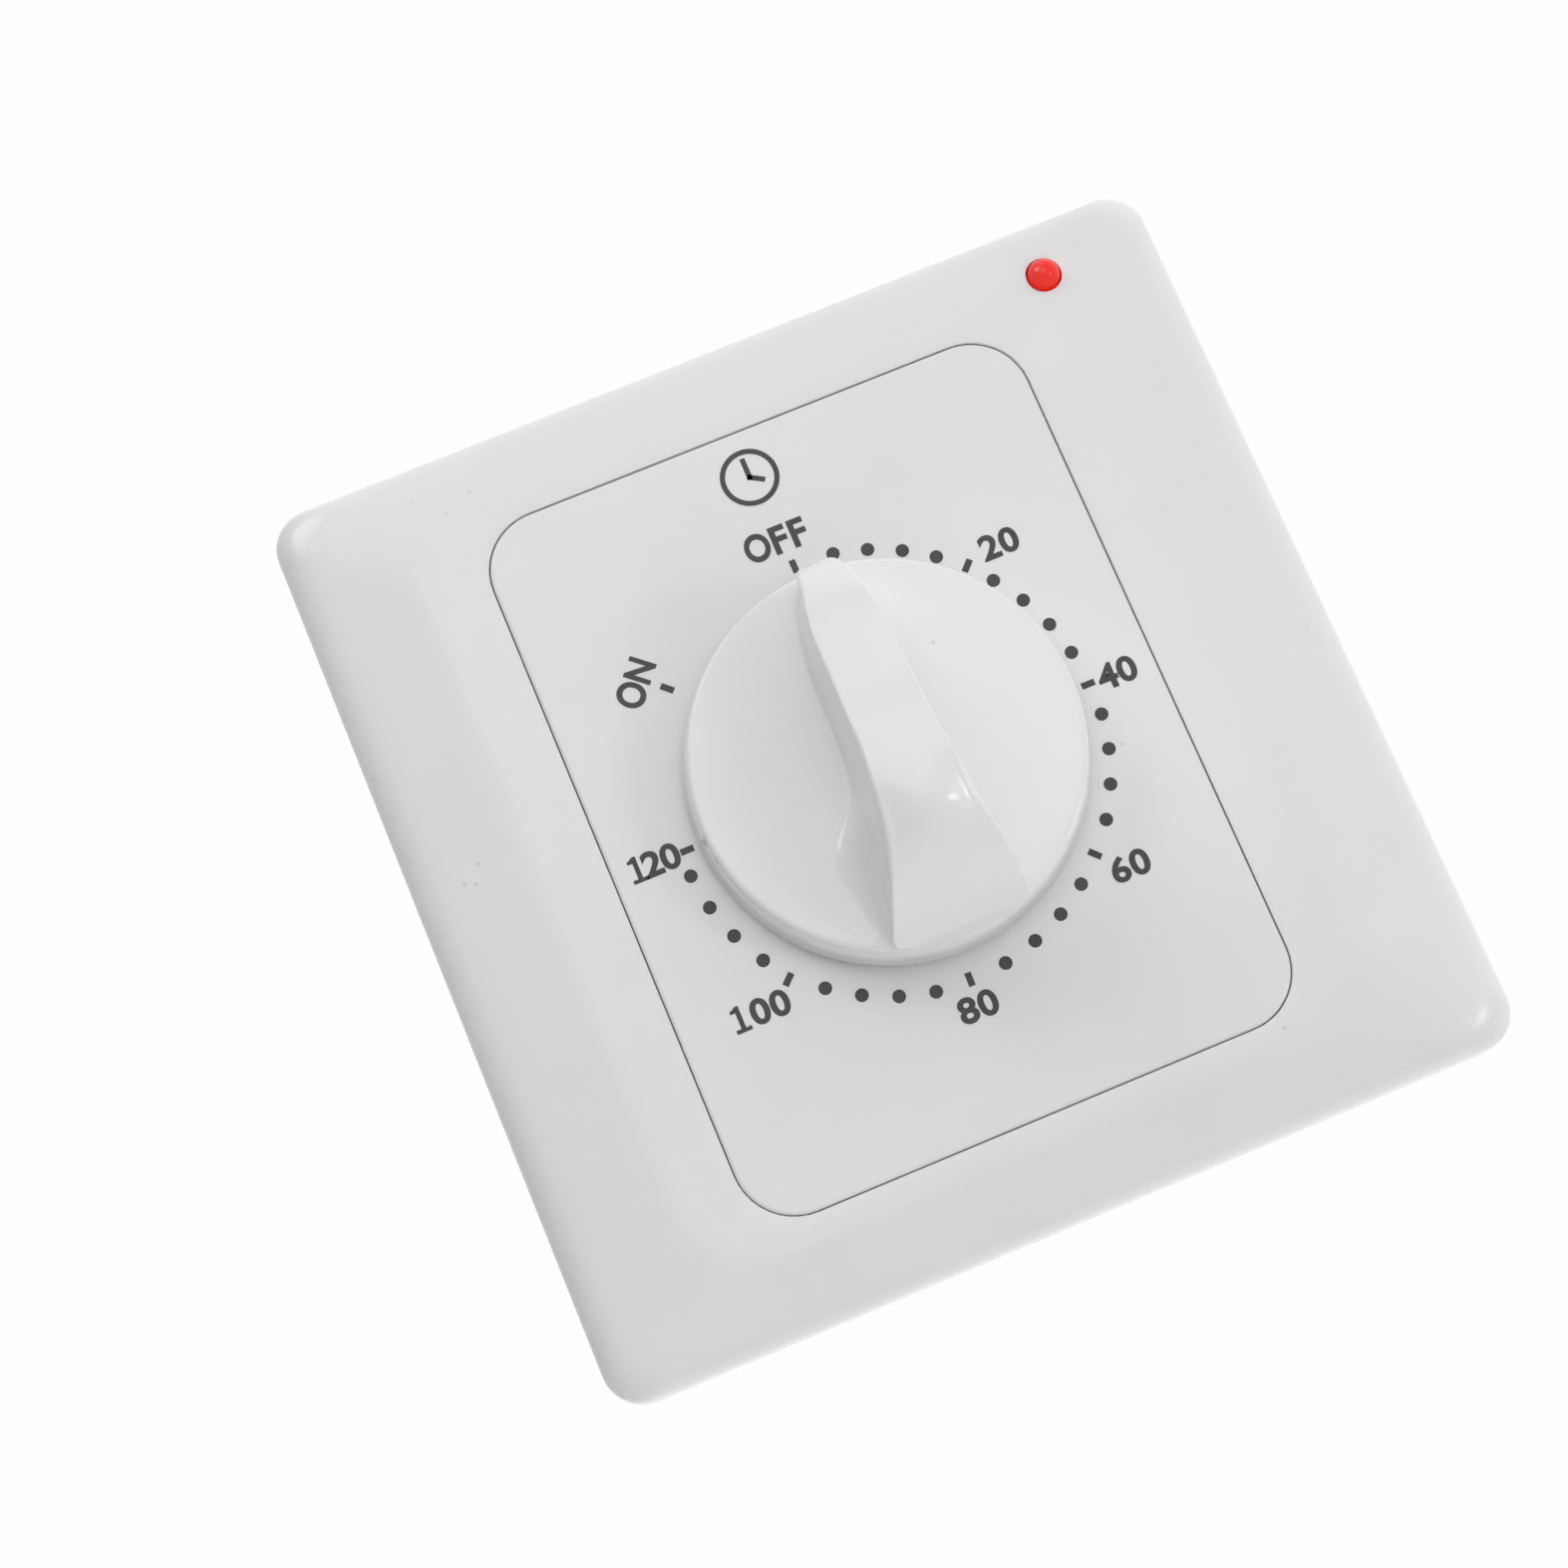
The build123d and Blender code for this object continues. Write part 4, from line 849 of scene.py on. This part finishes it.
# First and last turn, and first and last radius, of the dots between two marks
DOT_RUNS = [(9.5, 36.3, 20.1, 19.85), (52.4, 80.5, 19.7, 19.65), (98.6, 126.4, 19.8, 20.0),
            (144.3, 172.0, 20.1, 20.4), (190.5, 217.7, 20.55, 20.5), (234.4, 262.6, 20.4, 19.75)]

# Characters, x and z of the first one's middle in millimetres, and turn in degrees
LABELS = [("OFF", -2.75, 22.9, 0.0), ("20", 16.5, 15.0, 0.0), ("40", 21.45, 0.0, 0.0),
          ("60", 15.43, -16.45, 0.0), ("80", -1.82, -22.8, 0.0), ("100", -20.4, -15.9, 0.0),
          ("120", -24.3, -0.2, 0.0), ("ON", -18.27, 14.63, -49.6)]

# How far the middle of each character stands from the first place, in millimetres
SHIFTS = {"OFF": (0.0, 2.15, 3.96), "ON": (0.0, 2.36), "120": (0.6, 2.0, 3.7)}
EVEN_SHIFTS = (0.0, 1.86, 3.72)

# Height and width of each character as shares of the digit height and of the character's own width
SHAPES = {"O": (1.13, 0.84), "F": (1.11, 0.97), "N": (1.06, 0.85), "1": (1.0, 1.0)}
PLAIN_SHAPE = (1.0, 1.12)


class TIMER_SWITCH_OT_dial_dots(bpy.types.Operator):
    """Print the ring of dots and the radial marks on the panel"""
    bl_idname = "timer_switch.dial_dots"
    bl_label = "Dial Dots and Marks"

    def execute(self, context):
        dial, face = sizes_of("dial"), -panel_low.y
        ink = finish_for("ink")
        lift = face + dial.ink_depth / 2
        places = []
        for first, last, near, far in DOT_RUNS:
            for step in range(dial.dots_per_gap):
                share = step / (dial.dots_per_gap - 1)
                x, z = polar((near + (far - near) * share) * MM, first + (last - first) * share)
                places.append(spot(x, lift, z))
        start = bpy.data.meshes.new("dots_start")
        start.from_pydata(places, [], [])
        dots = run_tree("dial_dots", dots_tree(), {"Dot Radius": dial.dot_radius, "Ink Depth": dial.ink_depth,
                                                   "Ink": ink}, start)
        add_piece("dial_dots", dots, ink)
        points = bpy.data.meshes.new("marks_start")
        places = [polar(radius * MM, turn) for turn, radius in MARKS]
        points.from_pydata([spot(x, lift, z) for x, z in places], [], [])
        turns = points.attributes.new("turn", "FLOAT", "POINT")
        turns.data.foreach_set("value", [math.radians(turn) for turn, radius in MARKS])
        marks = run_tree("dial_marks", radial_marks_tree(), {
            "Mark Length": dial.mark_length, "Mark Width": dial.mark_width,
            "Ink Depth": dial.ink_depth, "Ink": ink}, points)
        add_piece("dial_marks", marks, ink)
        return {"FINISHED"}


# Outline of the 1, in shares of its height
ONE = [(-0.30, 0.0), (0.30, 0.0), (0.30, 0.15), (0.09, 0.15), (0.09, 1.0), (-0.06, 1.0), (-0.14, 0.93),
       (-0.28, 0.88), (-0.28, 0.77), (-0.09, 0.77), (-0.09, 0.15), (-0.30, 0.15)]


def character_outline(character):
    """Flat bmesh of one character in the XY plane."""
    bm = bmesh.new()
    if character == "1":
        bm.faces.new([bm.verts.new((x, y, 0.0)) for x, y in ONE])
        return bm
    curve = bpy.data.curves.new("character", "FONT")
    curve.body = character
    curve.offset = 0.032
    curve.resolution_u = 6
    holder = add_object("character", curve)
    bpy.context.view_layer.update()
    mesh = bpy.data.meshes.new_from_object(holder.evaluated_get(bpy.context.evaluated_depsgraph_get()))
    bpy.data.objects.remove(holder)
    bm.from_mesh(mesh)
    bpy.data.meshes.remove(mesh)
    return bm


def add_character(bm, character, height, widen, depth, place):
    """Adds a raised character, centred, at a place."""
    flat = character_outline(character)
    low = Vector([min(v.co[k] for v in flat.verts) for k in range(2)])
    high = Vector([max(v.co[k] for v in flat.verts) for k in range(2)])
    scale = height / (high.y - low.y)
    middle = (low + high) / 2
    bmesh.ops.translate(flat, verts=flat.verts, vec=(-middle.x, -middle.y, 0.0))
    bmesh.ops.scale(flat, verts=flat.verts, vec=(scale * widen, scale, 1.0))
    raised = bmesh.ops.extrude_face_region(flat, geom=flat.faces[:])
    tops = [item for item in raised["geom"] if isinstance(item, bmesh.types.BMVert)]
    bmesh.ops.translate(flat, verts=tops, vec=(0.0, 0.0, depth))
    bmesh.ops.transform(flat, matrix=place, verts=flat.verts)
    mesh = plain_mesh("character", flat)
    bm.from_mesh(mesh)
    bpy.data.meshes.remove(mesh)


class TIMER_SWITCH_OT_dial_labels(bpy.types.Operator):
    """Print OFF, ON and the minutes on the panel"""
    bl_idname = "timer_switch.dial_labels"
    bl_label = "Dial Labels"

    def execute(self, context):
        dial, face = sizes_of("dial"), -panel_low.y
        for text, x, z, turn in LABELS:
            bm = bmesh.new()
            shifts = SHIFTS.get(text, EVEN_SHIFTS)
            lean = Matrix.Rotation(math.radians(turn), 4, "Y") @ Matrix.Rotation(math.pi / 2, 4, "X")
            start = Matrix.Translation(spot(x * MM, face, z * MM)) @ lean
            for k, character in enumerate(text):
                shift = Matrix.Translation((shifts[k] * MM, 0.0, 0.0))
                tall, wide = SHAPES.get(character, PLAIN_SHAPE)
                add_character(bm, character, dial.digit_height * tall, wide, dial.ink_depth, start @ shift)
            finish_mesh("label_" + text, bm, finish_for("ink"), crisp=30.0)
        return {"FINISHED"}


# Turn in degrees of each hand of the clock sign, and its length as a share of the sign's radius
CLOCK_HANDS = ((0.0, 0.70), (120.0, 0.52))


class TIMER_SWITCH_OT_clock_sign(bpy.types.Operator):
    """Print a plain clock sign above OFF"""
    bl_idname = "timer_switch.clock_sign"
    bl_label = "Clock Sign"

    def execute(self, context):
        dial, face = sizes_of("dial"), -panel_low.y
        radius, line, top = dial.clock_radius, dial.clock_line, face + dial.ink_depth
        centre_x, centre_z = -0.85 * MM, 29.3 * MM
        bm = turned_solid([(radius - line, face), (radius, face), (radius, top), (radius - line, top),
                           (radius - line, face)], 72, (centre_x, centre_z))
        for turn, reach in CLOCK_HANDS:
            ends = []
            for along, across in ((-line / 2, -1), (reach * radius, -1), (reach * radius, 1), (-line / 2, 1)):
                side = across * line / 2
                x = along * math.sin(math.radians(turn)) + side * math.cos(math.radians(turn))
                z = along * math.cos(math.radians(turn)) - side * math.sin(math.radians(turn))
                ends.append((centre_x + x, centre_z + z))
            add_rings(bm, [[spot(x, out, z) for x, z in ends] for out in (face, top)], capped=True)
        finish_mesh("clock_sign", bm, finish_for("ink"), crisp=30.0)
        return {"FINISHED"}


# Finishes of the frame's own nodes

class TIMER_SWITCH_OT_working_parts(bpy.types.Operator):
    """Give each part that keeps its own shape the finish of its material slot"""
    bl_idname = "timer_switch.working_parts"
    bl_label = "Working Parts"

    def execute(self, context):
        for subpart in frame["record"]["subparts"]:
            node = frame["nodes"][subpart["node"]]
            node.data.materials.clear()
            node.data.materials.append(finish_for(subpart["material_slot"]))
        return {"FINISHED"}


# Stage

# Camera's place and aim as x, out and z in millimetres, roll in degrees, and focal length for a 36 mm sensor
CAMERA_AT = (-33.116, 288.217, -55.43)
CAMERA_AIM = (-8.863, 9.0, 1.972)
CAMERA_ROLL = -23.07
CAMERA_LENS = 74.455

# Half width and level of the floor, in metres
FLOOR_HALF = 0.8
FLOOR_LEVEL = -0.45

# Name, place as x, out and z, and width of each soft box, in metres, and its power in watts
SOFT_BOXES = [
    ("front_light", (0.0, 0.752, 0.274), 0.6, 0.98),
    ("left_light", (-0.364, 0.433, 0.566), 0.45, 1.8),
    ("top_light", (0.094, 0.257, 0.752), 0.6, 0.36),
    ("low_right_light", (0.509, 0.565, -0.247), 0.15, 0.5),
    ("low_left_light", (-0.454, 0.625, -0.207), 0.06, 0.04)]

# Glows of the room: a direction as x, out and z, and the level of the light that comes from it
GLOWS = [((0.0, 0.0, -1.0), 1.2), ((0.0, -0.6, -0.8), 0.8), ((0.7, 0.0, 0.7), 1.6)]
GLOW_SPREAD = 1.5


def add_seen(tree):
    """1 where the camera, a reflection or clear plastic looks, 0 for light that falls on things."""
    path = tree.nodes.new("ShaderNodeLightPath")
    seen = add_math(tree, "MAXIMUM", path.outputs["Is Glossy Ray"], path.outputs["Is Transmission Ray"])
    return add_math(tree, "MAXIMUM", path.outputs["Is Camera Ray"], seen)


# How much the floor shines where it is looked at, and for the light that it throws on things
FLOOR_LIFT = 0.27
FLOOR_GLOW = 0.25


def pale_floor(base):
    """Pale floor that looks white, with the shadows kept."""
    material, tree, shader, bump = new_material("pale_floor")
    skin = place_group(tree, "moulded_skin", Grain_Scale=60.0, Wave_Scale=3.0)
    clouded = add_mix(tree, skin["Cloud"], shaded(base, 0.99), shaded(base, 1.01))
    lift = add_range(tree, add_seen(tree), 0.0, 1.0, FLOOR_GLOW, FLOOR_LIFT)
    feed_all(tree, shader, Base_Color=clouded, Roughness=0.9, Specular_IOR_Level=0.0,
             Emission_Color=(1.0, 1.0, 1.0, 1.0), Emission_Strength=lift)
    feed_all(tree, bump, Height=skin["Height"], Strength=0.01)
    return material


def soft_box(name, at, size, power):
    """Round soft box that points at the middle of the plate."""
    light = bpy.data.lights.new(name, "AREA")
    light.shape = "DISK"
    light.size = size
    light.energy = power
    box = add_object(name, light)
    box.location = spot(*at)
    box.rotation_euler = (-spot(*at)).to_track_quat("-Z", "Y").to_euler()


def white_world():
    """World that lights from a few broad glows and that the camera sees as white."""
    world = bpy.data.worlds.new("white_room")
    world.use_nodes = True
    tree = world.node_tree
    background = tree.nodes["Background"]
    sight = tree.nodes.new("ShaderNodeTexCoord").outputs["Generated"]
    light = 0.0
    for direction, level in GLOWS:
        facing = tree.nodes.new("ShaderNodeVectorMath")
        facing.operation = "DOT_PRODUCT"
        facing.inputs[1].default_value = spot(*direction)
        tree.links.new(sight, facing.inputs[0])
        spread = add_math(tree, "POWER", add_math(tree, "MAXIMUM", facing.outputs["Value"], 0.0), GLOW_SPREAD)
        light = add_math(tree, "ADD", light, add_math(tree, "MULTIPLY", spread, level))
    grey = tree.nodes.new("ShaderNodeCombineColor")
    for channel in grey.inputs:
        tree.links.new(light, channel)
    shown = add_mix(tree, add_seen(tree), grey.outputs["Color"], (0.985, 0.985, 0.985))
    feed_all(tree, background, Color=shown, Strength=1.0)
    return world


class TIMER_SWITCH_OT_stage(bpy.types.Operator):
    """Set the floor, the soft lights, the world and the camera"""
    bl_idname = "timer_switch.stage"
    bl_label = "Stage"

    def execute(self, context):
        scene = context.scene
        bm = bmesh.new()
        half, level, thick = FLOOR_HALF, FLOOR_LEVEL, 0.01
        corners = ((-half, -half), (half, -half), (half, half), (-half, half))
        add_rings(bm, [[Vector((x, y, z)) for x, y in corners] for z in (level - thick, level)], capped=True)
        bmesh.ops.recalc_face_normals(bm, faces=bm.faces)
        floor = add_object("floor", plain_mesh("floor", bm))
        floor.data.materials.append(pale_floor(sizes_of("colours").floor))
        for values in SOFT_BOXES:
            soft_box(*values)
        scene.world = white_world()
        scene.view_settings.view_transform = "Standard"
        lens = bpy.data.cameras.new("camera")
        lens.lens = CAMERA_LENS
        lens.sensor_width = 36.0
        lens.clip_start = 0.01
        camera = add_object("camera", lens)
        camera.location = spot(*CAMERA_AT) * MM
        aim = (spot(*CAMERA_AIM) - spot(*CAMERA_AT)).to_track_quat("-Z", "Y")
        camera.rotation_mode = "QUATERNION"
        camera.rotation_quaternion = aim @ Quaternion((0.0, 0.0, 1.0), math.radians(CAMERA_ROLL))
        scene.camera = camera
        return {"FINISHED"}


class TIMER_SWITCH_PT_panel(bpy.types.Panel):
    """Sidebar panel that lists the switch's pieces"""
    bl_label = "Timer Switch"
    bl_idname = "TIMER_SWITCH_PT_panel"
    bl_space_type = "VIEW_3D"
    bl_region_type = "UI"
    bl_category = "Timer Switch"

    def draw(self, context):
        column = self.layout.column()
        for operator in OPERATORS:
            column.operator(operator.bl_idname)
        for kind in GROUPS:
            group = getattr(context.scene, "timer_switch_" + kind)
            for name in group.bl_rna.properties.keys():
                if name not in ("rna_type", "name"):
                    column.prop(group, name)


GROUPS = {"plate": PlateSizes, "knob": KnobSizes, "dial": DialSizes, "colours": SwitchColours}
OPERATORS = [
    TIMER_SWITCH_OT_working_parts,
    TIMER_SWITCH_OT_outer_frame,
    TIMER_SWITCH_OT_knob,
    TIMER_SWITCH_OT_lamp,
    TIMER_SWITCH_OT_dial_dots,
    TIMER_SWITCH_OT_dial_labels,
    TIMER_SWITCH_OT_clock_sign,
    TIMER_SWITCH_OT_stage,
]


def register():
    """Registers the classes and the scene's property groups."""
    for kind, group in GROUPS.items():
        bpy.utils.register_class(group)
        setattr(bpy.types.Scene, "timer_switch_" + kind, PointerProperty(type=group))
    for operator in OPERATORS:
        bpy.utils.register_class(operator)
    bpy.utils.register_class(TIMER_SWITCH_PT_panel)


def unregister():
    """Removes what register added."""
    bpy.utils.unregister_class(TIMER_SWITCH_PT_panel)
    for operator in reversed(OPERATORS):
        bpy.utils.unregister_class(operator)
    for kind, group in GROUPS.items():
        delattr(bpy.types.Scene, "timer_switch_" + kind)
        bpy.utils.unregister_class(group)


def main():
    """Builds the switch and its stage."""
    register()
    for operator in OPERATORS:
        family, name = operator.bl_idname.split(".")
        getattr(getattr(bpy.ops, family), name)()


if __name__ == "__main__":
    main()
